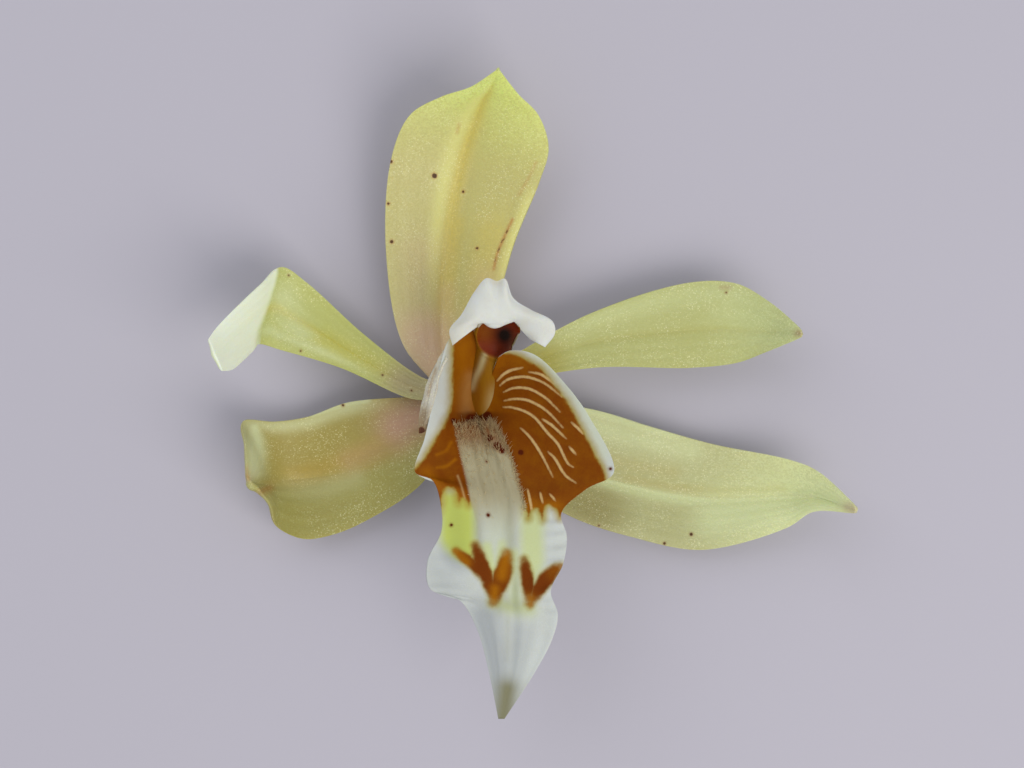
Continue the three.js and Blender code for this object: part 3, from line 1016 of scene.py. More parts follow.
@dataclass
class Blade:
    """A sepal or petal: a thin sheet drawn by its midrib and its two margins, from the base to the tip."""

    name: str
    slot: Slot
    finish: BladeFinish
    midrib: Points
    left: Points
    right: Points
    thickness: float = 0.6
    rim_thickness: float = 0.36
    bow: float = 0.06
    furrow: float = 0.08
    waviness: float = 0.05
    wave_height: float = 0.07
    vein_height: float = 0.012
    veins: int = 9
    seed: int = 1
    rows: int = 240
    columns: int = 90
    gold_line: float = 0.05
    gold_strength: float = 0.6
    # Which half carries painted shade, and how strong it is
    painted_shade_side: float = 0.0
    painted_shade: float = 0.6
    # Centre, width and strength of the band beside the midrib: paler skin and painted highlight
    pale_and_highlight_band: tuple[float, float, float] = (0.16, 0.1, 0.4)
    rolled: Sequence[tuple[float, float, float, float]] = ()
    washes: Sequence[Wash] = ()
    spots: Sequence[tuple[float, float, float]] = ()
    streaks: Sequence[tuple[Points, float]] = ()
    far_face: Points = ()
    back_share: float = 0.6
    own_node: bool = True

    def surface(self, u: Array, v: Array) -> Array:
        """The upper face: |v| of the way from the midrib to a margin.

        It is bowed up by bow * 4|v|(1 - |v|) times the length of that way.

        Args:
            u: each point's place along the midrib and the margins.
            v: its place across, from the left margin to the right one.

        Returns:
            The points.
        """
        middle = Rail(self.midrib)
        centre = middle.at(u)
        margin = np.where((v < 0)[..., None], Rail(self.left).at(u), Rail(self.right).at(u))
        span = margin - centre
        side = np.where(v < 0, -1.0, 1.0)[..., None]
        up = unit(np.cross(span, middle.along(u)) * side)
        w = np.abs(v)[..., None]
        lift = self.bow * 4 * w * (1 - w) * np.linalg.norm(span, axis=-1, keepdims=True)
        return centre + span * w + up * lift

    def relief(self, share: Array, v: Array) -> Array:
        """How far the skin stands off the drawn surface.

        It adds the furrow of the midrib, a row of low veins that follow the margins, slow waves, a ripple of
        the margins and their rolled stretches.

        Args:
            share: each point's place from base to tip.
            v: its place from the left to the right margin.

        Returns:
            The heights.
        """
        inner = ramp(share, 0.0, 0.12) * ramp(1 - share, 0.0, 0.12)
        furrow = -self.furrow * bell(v, 0.0, 0.07) * inner
        veins = self.vein_height * np.cos(math.pi * self.veins * v) * inner * ramp(1 - np.abs(v), 0.02, 0.2)
        slow = self.wave_height * ripple(share * 5, v * 1.6, 2.2, self.seed) * inner
        frill = self.waviness * ripple(share * 18, v * 0.4, 3.0, self.seed + 1) * ramp(np.abs(v), 0.55, 1.0)
        total = furrow + veins + slow + frill * inner
        for side, start, stop, height in self.rolled:
            stretch = ramp(share, start, start + 0.12) * ramp(stop - share, 0.0, 0.12)
            total = total + height * stretch * ramp(v * side, 0.78, 1.0)
        return total

    def paint(self, x: Array, y: Array, share: Array, v: Array) -> Marks:
        """The blade's marks.

        GOLD is the line of the midrib, and one half carries painted shade. The band beside the midrib, the
        rolled stretches and the far face are paler skin and painted highlight, where light falls. STAIN
        holds the blackish brown streaks, and the washes are laid over them.

        Args:
            x: first coordinate of each point.
            y: second coordinate of each point.
            share: the place from base to tip.
            v: the place from the left to the right margin.

        Returns:
            The marks.
        """
        wander = 0.012 * ripple(share * 9, v * 2, 1.6, self.seed + 2)
        gold = self.gold_strength * bell(v + wander, 0.0, self.gold_line) * ramp(1 - share, 0.0, 0.2)
        # Painted shade over one half of the blade
        painted_shade = self.painted_shade * ramp(v * self.painted_shade_side, 0.02, 0.25) * ramp(1 - share, 0.05, 0.3)
        # The band beside the midrib: paler skin and painted highlight
        centre, width, strength = self.pale_and_highlight_band
        pale = strength * bell(v, centre, width) * ramp(share, 0.15, 0.4) * ramp(1 - share, 0.0, 0.2)
        # Painted highlight along the rolled margins, which turn towards the light
        for side, start, stop, _ in self.rolled:
            stretch = ramp(share, start, start + 0.1) * ramp(stop - share, 0.0, 0.1)
            pale = np.maximum(pale, 0.5 * stretch * ramp(v * side, 0.8, 0.95))
        stain = np.full_like(x, -HIDDEN_DEPTH)
        for line, width in self.streaks:
            stain = np.maximum(stain, stroke(x, y, line, width))
        # Painted highlight over the far face, which faces the light
        if self.far_face:
            pale = np.maximum(pale, ramp(patch(x, y, self.far_face), -0.15, 0.15))
        marks = {Mark.GOLD: gold, Mark.PAINTED_SHADE: painted_shade, Mark.PALE_AND_HIGHLIGHT: pale, Mark.STAIN: stain}
        marks |= {Mark.BLUSH: np.zeros_like(x), Mark.TAN: np.zeros_like(x)}
        for wash in self.washes:
            wash.add_to(marks, x, y)
        return marks

    def mesh(self) -> bpy.types.Object:
        """Makes the sheet's mesh: thickest along the midrib, with rounded rims, and never below the surface.

        The columns lie at (s + sin(s * pi / 2)) / 2 for even steps of s, so they are closer at the margins.

        Returns:
            The object.
        """
        rails = [Rail(self.midrib), Rail(self.left), Rail(self.right)]
        side = np.linspace(-1, 1, self.columns + 1)
        u, v, share = sheet_grid(rails, self.rows, (side + np.sin(math.pi / 2 * side)) / 2)
        drawn = self.surface(u, v)
        normals = grid_normals(drawn)
        full = rim_profile(share, v, 0.02)
        upper = drawn + normals * (self.relief(share, v) * full)[..., None]
        depth = self.rim_thickness + (self.thickness - self.rim_thickness) * bell(v, 0.0, 0.55)
        lower = upper - normals * (depth * full)[..., None]
        upper[..., 2] = np.maximum(upper[..., 2], 0.0)
        lower[..., 2] = np.maximum(lower[..., 2], 0.0)
        marks = self.paint(drawn[..., 0], drawn[..., 1], share, v)
        return Leaflet(self.name, upper, lower, share, v, marks, self.back_share).build()

    def build(self) -> bpy.types.Object:
        """Makes the blade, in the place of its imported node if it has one.

        Returns:
            The object.
        """
        nodes = (self.name,) if self.own_node else ()
        return settle(self.mesh(), self.finish.material(self.spots), self.slot, *nodes)


def dorsal_sepal() -> Blade:
    """The broad upper sepal, whose tip turns up, and whose right half carries painted shade.

    Returns:
        The blade.
    """
    return Blade(
        "dorsal_sepal",
        Slot.SEPAL,
        BladeFinish(
            "dorsal_skin",
            base=(0.62, 0.57, 0.24),
            shade=(0.5, 0.44, 0.15),
            painted_shade=(0.53, 0.49, 0.16),
            pale=(0.78, 0.76, 0.27),
            gold=(0.68, 0.53, 0.08),
            blush=(0.74, 0.51, 0.34),
            # The tip's own yellow-green, lightened as painted light on the upturned tip
            tip=(0.78, 0.88, 0.24),
            tan=(0.5, 0.22, 0.05),
            tip_start=0.55,
        ),
        midrib=[(-1.0, 0.7, 3.9), (-1.4, 4.5, 3.4), (-1.1, 11.0, 3.0), (0.2, 18.2, 3.8), (1.2, 21.0, 5.6),
                (1.9, 22.4, 7.6), (2.5, 23.1, 9.3), (3.0, 24.0, 11.2)],
        left=[(-2.0, 1.1, 3.9), (-4.4, 4.2, 4.0), (-5.65, 11.2, 4.2), (-5.25, 18.1, 4.9),
              (-3.7, 21.4, 6.6), (-1.4, 22.6, 7.6), (0.9, 23.2, 8.8), (2.9, 24.1, 11.2)],
        right=[(0.1, 0.9, 3.9), (2.1, 4.7, 4.2), (4.3, 12.0, 4.2), (6.15, 16.5, 4.7), (6.85, 19.0, 5.5),
               (6.1, 21.3, 6.9), (4.6, 22.6, 8.7), (3.15, 24.0, 11.2)],
        seed=11,
        gold_line=0.11,
        gold_strength=0.65,
        painted_shade_side=1.0,
        painted_shade=0.7,
        # Painted highlight on the left half beside the midrib, which faces the light
        pale_and_highlight_band=(-0.2, 0.13, 0.6),
        rolled=[(1.0, 0.22, 0.62, 0.3)],
        washes=[
            Wash(Mark.BLUSH, ((-1.4, 1.5), (-2.6, 4.5)), 2.6, 0.9),
            Wash(Mark.GOLD, ((-1.2, 5.0), (-0.9, 9.5), (-0.5, 13.5)), 0.9, 0.6),
            Wash(Mark.GOLD, ((1.2, 6.0), (1.8, 10.0), (2.4, 12.5)), 1.8, 0.38),
            Wash(Mark.BLUSH, ((-1.3, 4.0), (-1.2, 8.0)), 1.1, 0.3),
            Wash(Mark.BLUSH, ((-3.3, 5.5), (-3.0, 11.0)), 1.8, 0.25),
            Wash(Mark.BLUSH, ((1.5, 5.5), (2.0, 9.0)), 1.3, 0.25),
            Wash(Mark.TAN, ((4.1, 13.7), (3.43, 12.29), (2.97, 11.2), (2.65, 9.9)), 0.13, 0.75),
            Wash(Mark.TAN, ((5.9, 18.0), (5.28, 16.76), (4.6, 15.6)), 0.13, 0.3),
            Wash(Mark.TAN, ((0.0, 20.9), (-0.15, 20.3)), 0.12, 0.4),
        ],
        spots=[(-1.92, 17.07, 0.18), (-5.2, 18.07, 0.11), (-5.2, 12.0, 0.12), (-5.45, 14.9, 0.09),
               (0.28, 15.91, 0.09), (1.35, 11.52, 0.09)],
        streaks=[(((3.75, 13.0), (3.6, 12.6)), 0.09), (((3.5, 12.3), (3.2, 11.9)), 0.11),
                 (((3.1, 11.6), (2.95, 11.2)), 0.12), (((2.8, 10.8), (2.72, 10.4)), 0.09)],
    )


def lateral_sepal_left() -> Blade:
    """The lower left sepal, which turns up steeply at its end, so that its apex faces the viewer.

    Returns:
        The blade.
    """
    return Blade(
        "lateral_sepal_left",
        Slot.SEPAL,
        BladeFinish(
            "lateral_left_skin",
            base=(0.4, 0.33, 0.085),
            shade=(0.36, 0.29, 0.07),
            painted_shade=(0.37, 0.35, 0.1),
            pale=(0.65, 0.68, 0.38),
            gold=(0.5, 0.35, 0.07),
            blush=(0.56, 0.34, 0.22),
            tip=(0.42, 0.4, 0.13),
            tan=(0.42, 0.2, 0.04),
        ),
        midrib=[(-0.9, -1.1, 3.9), (-3.6, -3.4, 2.9), (-8.7, -5.8, 1.2), (-11.4, -6.3, 0.65),
                (-13.4, -6.5, 1.1), (-14.5, -6.5, 2.7), (-15.0, -6.4, 6.0), (-15.2, -6.3, 9.7)],
        left=[(-0.6, -2.2, 3.9), (-2.8, -6.5, 3.2), (-7.3, -9.6, 2.0), (-9.9, -10.7, 2.1),
              (-12.1, -11.0, 2.6), (-13.9, -10.0, 4.2), (-14.2, -8.1, 7.2), (-14.6, -6.8, 9.7)],
        right=[(-1.0, 0.1, 3.9), (-4.8, 0.0, 3.6), (-8.8, -0.4, 2.6), (-11.9, -1.5, 2.2),
               (-14.3, -1.85, 2.7), (-16.5, -1.75, 4.8), (-16.0, -3.3, 7.4), (-15.6, -6.0, 9.7)],
        seed=23,
        furrow=-0.09,
        gold_line=0.04,
        gold_strength=0.3,
        painted_shade_side=-1.0,
        painted_shade=0.8,
        pale_and_highlight_band=(0.92, 0.12, 0.6),
        washes=[
            Wash(Mark.BLUSH, ((-3.0, -1.2), (-4.8, -2.2)), 1.8, 0.95),
            Wash(Mark.BLUSH, ((-8.6, -4.9), (-6.2, -3.9)), 1.0, 0.3),
            # Painted highlight where the fold below the midrib catches the light
            Wash(Mark.PALE_AND_HIGHLIGHT, ((-13.4, -7.1), (-10.8, -7.1), (-8.2, -6.3)), 0.9, 0.28),
            Wash(Mark.GOLD, ((-13.0, -6.2), (-9.6, -5.2), (-7.0, -4.0), (-4.6, -2.8)), 0.9, 0.65),
            # Painted highlight on the upturned end, where its edge catches the light
            Wash(Mark.PALE_AND_HIGHLIGHT, ((-15.8, -2.3), (-15.4, -4.3), (-15.4, -5.7)), 0.5, 1.0),
            Wash(Mark.PALE_AND_HIGHLIGHT, ((-11.5, -1.3), (-8.6, -0.5), (-7.2, -0.2)), 0.45, 0.8),
            Wash(Mark.TAN, ((-16.0, -5.3), (-15.7, -6.0)), 0.35, 0.9),
            Wash(Mark.TAN, ((-14.9, -7.4), (-14.7, -7.0)), 0.3, 0.8),
        ],
        spots=[(-9.1, -0.6, 0.1)],
    )


def lateral_sepal_right() -> Blade:
    """The lower right sepal, with a ridge along its midrib and a tip that turns up and to the right.

    Returns:
        The blade.
    """
    return Blade(
        "lateral_sepal_right",
        Slot.SEPAL,
        BladeFinish(
            "lateral_right_skin",
            base=(0.54, 0.54, 0.27),
            shade=(0.43, 0.42, 0.17),
            painted_shade=(0.33, 0.285, 0.1),
            pale=(0.69, 0.75, 0.4),
            gold=(0.48, 0.37, 0.1),
            blush=(0.5, 0.36, 0.24),
            tip=(0.78, 0.84, 0.42),
            tip_start=0.55,
        ),
        midrib=[(0.5, -0.5, 3.9), (4.7, -3.4, 2.9), (9.8, -5.7, 1.6), (14.1, -7.0, 0.8),
                (19.1, -7.8, 0.7), (25.3, -7.6, 2.3), (27.2, -7.6, 3.8), (30.0, -8.5, 7.2)],
        left=[(0.8, 0.4, 3.9), (5.8, -0.2, 3.6), (10.7, -1.0, 2.6), (15.0, -2.3, 2.2), (19.6, -3.6, 2.2),
              (25.5, -4.8, 3.8), (27.4, -5.6, 4.8), (30.0, -8.2, 7.2)],
        right=[(0.0, -1.6, 3.9), (3.7, -6.1, 3.4), (8.7, -9.3, 2.4), (13.4, -10.9, 1.9),
               (18.9, -11.9, 1.9), (25.3, -10.1, 3.2), (27.1, -8.8, 4.4), (29.9, -8.7, 7.2)],
        seed=37,
        furrow=-0.1,
        gold_line=0.04,
        gold_strength=0.4,
        painted_shade_side=1.0,
        painted_shade=0.15,
        # Painted highlight on the ridge just below the midrib
        pale_and_highlight_band=(0.14, 0.09, 0.6),
        rolled=[(-1.0, 0.15, 0.6, 0.1)],
        washes=[
            # Painted highlights where light falls: the far lower half, the upper half and the ridge below
            # the midrib
            Wash(Mark.PALE_AND_HIGHLIGHT, ((20.0, -9.3), (28.5, -8.3)), 2.0, 0.75),
            Wash(Mark.PALE_AND_HIGHLIGHT, ((7.5, -1.6), (18.0, -4.0)), 1.0, 0.4),
            Wash(Mark.PALE_AND_HIGHLIGHT, ((11.5, -6.6), (15.6, -7.6), (20.7, -8.15), (27.0, -8.0)), 0.35, 0.65),
            Wash(Mark.GOLD, ((11.5, -4.9), (16.6, -5.9)), 0.7, 0.3),
            Wash(Mark.GOLD, ((13.0, -6.25), (16.5, -7.0), (20.7, -7.4), (25.0, -7.2)), 0.45, 0.35),
            # Painted shade on the lower half near the base, in its hollow and under the lip
            Wash(Mark.PAINTED_SHADE, ((6.0, -6.5), (10.5, -8.6)), 2.8, 1.0),
            Wash(Mark.BLUSH, ((29.6, -8.3), (29.9, -8.6)), 0.5, 0.6),
        ],
        spots=[(18.06, -10.71, 0.12), (15.96, -11.4, 0.1), (10.82, -10.0, 0.06)],
    )


def petal_left() -> Blade:
    """The narrow left petal, which folds up and over towards its end; its far face there has painted
    highlight.

    Returns:
        The blade.
    """
    return Blade(
        "petal_left",
        Slot.PETAL,
        BladeFinish(
            "petal_left_skin",
            base=(0.53, 0.55, 0.18),
            shade=(0.46, 0.46, 0.13),
            painted_shade=(0.44, 0.44, 0.13),
            # Paler skin, and painted highlight on the far face
            pale=(0.92, 1.0, 0.78),
            gold=(0.56, 0.49, 0.06),
            blush=(0.44, 0.35, 0.2),
            tip=(0.62, 0.7, 0.25),
            veins=9.0,
            tip_start=0.45,
        ),
        midrib=[(-1.2, 0.4, 5.2), (-3.2, 0.7, 4.8), (-8.4, 3.5, 3.2), (-12.8, 6.2, 2.8),
                (-14.3, 6.9, 3.8), (-15.3, 6.0, 6.4), (-17.0, 3.9, 11.0), (-17.5, 3.2, 12.9)],
        left=[(-1.5, -0.1, 5.2), (-3.6, -0.1, 4.9), (-9.2, 2.3, 3.6), (-13.9, 3.7, 3.6),
              (-15.3, 4.1, 4.6), (-15.7, 3.4, 6.8), (-16.5, 2.1, 11.0), (-17.0, 2.0, 12.8)],
        right=[(-1.0, 1.0, 5.2), (-2.9, 1.6, 4.9), (-7.4, 4.9, 3.6), (-11.8, 8.9, 4.0),
               (-13.5, 10.0, 5.0), (-14.8, 8.6, 7.2), (-17.5, 5.4, 11.0), (-18.05, 4.3, 12.6)],
        thickness=0.52,
        rim_thickness=0.34,
        bow=0.03,
        furrow=0.05,
        veins=7,
        seed=41,
        rows=230,
        columns=74,
        gold_line=0.14,
        gold_strength=0.7,
        painted_shade_side=1.0,
        painted_shade=0.15,
        pale_and_highlight_band=(-0.6, 0.2, 0.2),
        washes=[
            Wash(Mark.BLUSH, ((-2.0, 0.5), (-4.4, 1.2)), 1.6, 0.8),
            Wash(Mark.PALE_AND_HIGHLIGHT, ((-13.7, 7.6), (-12.5, 5.2)), 1.3, 0.22),
            Wash(Mark.GOLD, ((-10.5, 4.6), (-7.5, 3.1), (-4.5, 1.5)), 0.8, 0.45),
        ],
        # The far face, painted pale as painted highlight
        far_face=((-13.8, 10.4), (-13.9, 9.3), (-14.7, 6.8), (-15.25, 4.9), (-15.6, 3.4), (-17.0, 0.5),
                  (-20.0, 2.0), (-18.0, 9.0)),
        spots=[(-12.29, 3.6, 0.06), (-5.91, 1.74, 0.07), (-3.64, 0.55, 0.06), (-13.1, 9.4, 0.05)],
    )


def petal_right() -> Blade:
    """The narrow right petal, nearly flat, with faint lengthwise veins and a brownish tip.

    Returns:
        The blade.
    """
    return Blade(
        "petal_right",
        Slot.PETAL,
        BladeFinish(
            "petal_right_skin",
            base=(0.49, 0.5, 0.19),
            shade=(0.43, 0.43, 0.14),
            painted_shade=(0.4, 0.4, 0.12),
            pale=(0.62, 0.68, 0.34),
            gold=(0.44, 0.38, 0.06),
            blush=(0.42, 0.31, 0.16),
            tip=(0.6, 0.65, 0.3),
            veins=9.0,
        ),
        midrib=[(0.8, 0.5, 5.3), (3.5, 1.8, 4.85), (10.1, 4.2, 3.6), (18.1, 5.2, 2.9), (21.6, 5.2, 3.4),
                (23.8, 5.0, 4.6), (25.9, 4.8, 7.0)],
        left=[(0.7, 1.1, 5.3), (3.1, 2.6, 5.0), (10.1, 6.5, 4.0), (17.8, 8.9, 3.4), (21.3, 8.8, 4.0),
              (23.6, 7.4, 5.2), (25.95, 5.1, 7.0)],
        right=[(1.1, -0.1, 5.3), (3.9, 1.1, 5.0), (10.4, 2.3, 3.8), (18.0, 2.3, 3.2), (21.5, 2.7, 3.6),
               (23.5, 3.5, 4.7), (25.95, 4.6, 7.0)],
        thickness=0.52,
        rim_thickness=0.34,
        bow=0.03,
        furrow=0.05,
        veins=7,
        seed=53,
        rows=230,
        columns=74,
        gold_line=0.1,
        gold_strength=0.25,
        pale_and_highlight_band=(-0.75, 0.3, 0.35),
        washes=[
            Wash(Mark.GOLD, ((1.5, 1.0), (6.5, 2.8)), 1.8, 0.9),
            Wash(Mark.BLUSH, ((25.7, 4.9), (25.9, 4.85)), 0.3, 0.8),
            Wash(Mark.BLUSH, ((20.2, 8.5), (20.8, 8.5)), 0.2, 0.5),
            Wash(Mark.PALE_AND_HIGHLIGHT, ((21.0, 7.0), (24.5, 5.6)), 1.8, 0.35),
        ],
        spots=[(20.57, 8.1, 0.06)],
    )


@dataclass
class Perianth:
    """The three sepals and two petals."""

    makers: Sequence[Callable[[], Blade]] = (
        dorsal_sepal, lateral_sepal_left, lateral_sepal_right, petal_left, petal_right,
    )

    def build(self) -> list[bpy.types.Object]:
        """Makes the five blades."""
        return [make().build() for make in self.makers]


# The lip


@dataclass
class Lip:
    """The lip: a trough between two side lobes, with a keel band along its middle, then a pointed mid-lobe.

    Its left side is the one towards +X, because its tip points towards -Y.
    """

    middle: Points = (
        (1.5, -1.0, 5.9), (1.5, -1.5, 6.0), (1.5, -2.2, 6.2), (1.9, -3.4, 6.7), (2.2, -4.8, 7.3),
        (2.5, -6.3, 8.0), (2.9, -7.6, 8.7), (3.2, -8.8, 9.3), (3.5, -10.6, 10.1), (3.8, -12.5, 10.8),
        (3.9, -14.3, 11.3), (3.9, -15.7, 11.7), (3.8, -17.5, 12.1), (3.7, -20.0, 12.3), (3.3, -23.4, 12.0),
    )
    left: Points = (
        (3.0, 3.0, 10.8), (4.0, 3.5, 11.5), (5.7, 3.2, 11.8), (8.0, 1.0, 11.8), (9.8, -1.5, 11.7),
        (11.5, -5.4, 11.8), (9.5, -6.7, 10.8), (7.7, -8.5, 10.2), (8.1, -10.2, 10.5), (7.8, -12.2, 11.0),
        (6.9, -14.1, 11.5), (7.4, -15.8, 12.0), (7.0, -17.5, 12.3), (5.8, -19.8, 12.5), (3.5, -23.4, 12.0),
    )
    right: Points = (
        (2.1, 5.3, 10.7), (-0.35, 4.6, 11.2), (-1.2, 2.4, 11.2), (-1.75, -0.2, 11.0), (-2.4, -3.0, 10.8),
        (-3.1, -5.4, 10.8), (-1.8, -6.1, 10.3), (-1.2, -8.1, 9.9), (-1.2, -9.9, 10.1),
        (-2.2, -12.0, 10.4), (-2.0, -14.0, 10.9), (0.2, -14.8, 11.4), (1.5, -16.9, 11.9),
        (2.3, -19.7, 12.2), (3.05, -23.4, 12.0),
    )
    # The stripes of the left side lobe, in plan, from the throat outwards
    stripes: Sequence[Points] = (
        ((2.95, 1.3), (3.4, 1.75), (3.95, 2.05), (4.85, 2.27)),
        ((3.15, 0.95), (3.65, 1.35), (4.35, 1.55), (5.2, 1.57), (6.35, 1.15), (7.7, 0.1)),
        ((5.3, 1.95), (6.1, 1.8), (6.8, 1.35), (7.7, 0.55)),
        ((3.45, 0.45), (4.05, 0.73), (4.8, 0.78), (5.5, 0.62), (6.45, 0.05), (7.6, -1.0)),
        ((3.45, -0.2), (4.05, -0.08), (4.8, -0.08), (5.4, -0.23), (6.6, -0.93), (7.85, -2.15)),
        ((3.4, -0.68), (4.05, -0.7), (5.5, -1.25), (6.75, -2.6), (7.5, -3.4), (8.2, -4.8), (8.6, -5.1)),
        ((6.3, -1.55), (7.0, -1.97), (8.1, -2.97)),
        ((4.7, -2.25), (5.3, -2.8), (6.15, -4.0), (7.1, -5.85)),
        ((6.75, -3.98), (7.25, -4.46), (8.0, -5.69), (8.8, -6.27)),
        ((8.45, -1.75), (8.9, -2.15), (9.3, -2.6)),
        ((8.3, -3.55), (8.8, -4.15)),
        ((5.22, -6.8), (5.4, -7.6), (5.55, -8.5)),
        ((6.15, -7.0), (6.35, -7.8)),
        ((6.85, -7.1), (7.3, -7.6)),
    )
    stripe_width: float = 0.2
    # The brown of the throat and both side lobes, in plan, with its toothed lower edges
    brown: Points = (
        (-0.4, 4.9), (-0.5, 3.0), (-0.52, 1.5), (-0.5, -0.2), (-0.95, -1.7), (-1.65, -2.9), (-2.5, -4.4),
        (-3.5, -5.6), (-2.5, -6.5), (-1.8, -7.2), (-1.5, -8.8), (-1.15, -8.2), (-1.0, -7.1), (-0.7, -6.7),
        (-0.25, -6.9), (0.1, -7.9), (0.4, -7.5), (0.85, -8.0), (1.4, -7.0), (2.6, -4.5), (4.2, -6.8),
        (4.95, -8.0), (5.25, -9.0), (5.6, -8.4), (5.9, -8.3), (6.3, -9.1), (6.7, -8.0), (7.2, -8.3),
        (7.6, -8.9), (8.2, -8.1), (9.6, -7.3), (11.0, -6.4), (10.95, -5.6), (10.2, -4.0), (9.35, -2.3),
        (8.45, -0.65), (7.4, 0.8), (6.25, 2.25), (4.7, 3.15), (3.2, 3.6), (2.2, 5.8), (0.8, 5.9),
    )
    # The keel band's edge towards -X, which is clean, and its edge towards +X, which is fringed
    clean_edge: Points = ((-0.4, -2.0), (0.05, -4.0), (0.46, -5.7), (0.91, -7.6), (1.4, -9.4), (1.9, -11.5))
    fringed_edge: Points = ((3.3, -10.8), (5.0, -8.4), (4.55, -6.3), (4.0, -4.5), (3.2, -2.9), (2.5, -1.8))
    # The yellow zones beside it: the strong one towards -X and the faint one towards +X
    strong_yellow: Points = (
        (-1.1, -7.0), (-1.1, -9.0), (-1.0, -10.6), (-0.1, -11.6), (1.0, -11.8), (1.15, -10.0), (0.75, -7.4),
    )
    faint_yellow: Points = (
        (4.8, -8.2), (4.8, -10.5), (4.9, -12.6), (5.5, -13.6), (6.2, -12.2), (6.2, -10.0), (6.3, -8.4),
    )
    # The marks like two V letters at the foot of the mid-lobe: each stroke's line and width
    chevrons: Sequence[tuple[Points, float]] = (
        (((-0.1, -11.3), (0.5, -11.75), (1.2, -12.3), (1.8, -13.1)), 0.65),
        (((1.35, -10.9), (1.7, -12.0), (2.15, -13.1), (2.8, -14.8)), 0.9),
        (((3.65, -11.5), (3.45, -12.6), (3.15, -13.6), (2.65, -14.9)), 1.15),
        (((4.95, -11.9), (5.15, -13.2), (5.4, -15.0)), 0.8),
        (((7.6, -12.4), (6.8, -13.0), (6.15, -13.8), (5.35, -15.0)), 0.95),
    )
    chevron_taper: float = 0.6
    washes: Sequence[Wash] = (
        Wash(Mark.PALE_AND_HIGHLIGHT, ((0.9, 1.5), (0.65, 0.6), (0.6, -0.9)), 0.5, 0.2),
        Wash(Mark.GOLD, ((-1.5, -5.15), (-0.8, -5.05), (-0.2, -4.6)), 0.13, 0.6),
        Wash(Mark.GOLD, ((-1.5, -4.2), (-0.85, -3.9), (-0.5, -3.3)), 0.13, 0.5),
        Wash(Mark.PALE_AND_HIGHLIGHT, ((0.0, -5.8), (0.3, -6.6), (0.55, -7.5)), 0.08, 0.5),
        # Painted shade over the foot of the mid-lobe
        Wash(Mark.PAINTED_SHADE, ((-1.7, -12.3), (-0.6, -14.0)), 1.6, 0.3),
        Wash(Mark.GOLD, ((0.4, 4.2), (0.3, 2.0), (0.5, 0.0)), 0.9, 0.45),
        Wash(Mark.GOLD, ((1.5, 2.5), (1.9, 1.0), (2.0, -0.8)), 0.9, 0.5),
        Wash(Mark.GOLD, ((2.6, 2.4), (3.4, 2.8), (5.0, 2.6)), 0.8, 0.2),
        Wash(Mark.MAROON, ((-1.4, -4.6), (-0.6, -5.6)), 0.9, 0.12),
        Wash(Mark.GOLD, ((3.65, -11.5), (3.3, -13.0)), 0.5, 0.7),
        Wash(Mark.GOLD, ((-0.2, -11.2), (0.7, -12.1)), 0.4, 0.6),
        Wash(Mark.GOLD, ((2.8, -14.0), (2.7, -14.8)), 0.4, 0.7),
        Wash(Mark.GOLD, ((5.4, -14.7), (5.4, -15.2)), 0.4, 0.6),
        Wash(Mark.GOLD, ((7.6, -12.3), (6.9, -12.9)), 0.4, 0.25),
        # Painted shade over the mid-lobe, strongest on its side towards -X
        Wash(Mark.PAINTED_SHADE, ((2.0, -16.0), (2.7, -19.0), (3.2, -23.0)), 1.3, 0.8),
        Wash(Mark.PAINTED_SHADE, ((4.6, -17.0), (4.2, -20.5), (3.5, -23.4)), 0.9, 0.4),
        Wash(Mark.GOLD, ((-2.2, -5.4), (-1.5, -6.4), (0.3, -7.4)), 0.5, 0.35),
        # Painted shade over the strong yellow zone
        Wash(Mark.PAINTED_SHADE, ((-0.2, -7.4), (0.1, -11.4)), 1.3, 1.0),
        Wash(Mark.GOLD, ((5.0, -8.0), (7.2, -8.0)), 0.6, 0.5),
        Wash(Mark.YELLOW, ((4.3, -11.5), (4.3, -14.8)), 0.6, 0.35),
        Wash(Mark.YELLOW, ((5.6, -9.5), (5.7, -13.0)), 0.6, 0.4),
        Wash(Mark.YELLOW, ((2.9, -7.6), (3.1, -12.0)), 1.5, 0.15),
        Wash(Mark.YELLOW, ((2.2, -11.0), (2.6, -12.6)), 0.5, 0.5),
        Wash(Mark.YELLOW, ((3.3, -10.8), (3.1, -12.0)), 0.5, 0.4),
        Wash(Mark.TAN, ((1.2, -8.0), (1.6, -10.8)), 0.4, 0.35),
        Wash(Mark.TAN, ((3.9, -8.0), (3.95, -12.4)), 0.5, 0.4),
        Wash(Mark.YELLOW, ((6.0, 3.0), (8.6, 0.6), (10.7, -4.0)), 0.7, 0.15),
        Wash(Mark.YELLOW, ((2.7, -14.9), (3.9, -15.3), (5.4, -15.5)), 0.6, 0.3),
        Wash(Mark.TAN, ((3.3, -15.1), (5.0, -15.3)), 0.6, 0.4),
        Wash(Mark.TAN, ((3.8, -15.5), (3.7, -19.0)), 0.35, 0.15),
        Wash(Mark.TAN, ((3.7, -21.2), (3.4, -23.6)), 0.85, 1.0),
    )
    spots: Sequence[tuple[float, float, float]] = (
        (0.95, -1.65, 0.4), (2.2, -1.4, 0.35), (-0.3, -1.7, 0.2), (2.4, -3.0, 0.25), (2.95, -3.6, 0.3),
        (3.3, -3.95, 0.2), (4.71, -4.08, 0.2), (2.28, -8.68, 0.12), (-0.45, -9.39, 0.1),
        (2.13, -4.78, 0.06), (11.25, -5.15, 0.1),
    )
    thickness: float = 0.5
    rim_thickness: float = 0.32
    band_half_width: float = 1.75
    band_share: float = 0.45
    keel_height: float = 0.5
    crest_places: tuple[float, ...] = (0.2, 0.5, 0.8)
    crest_width: float = 0.32
    stripe_height: float = 0.04
    crumb_height: float = 0.015
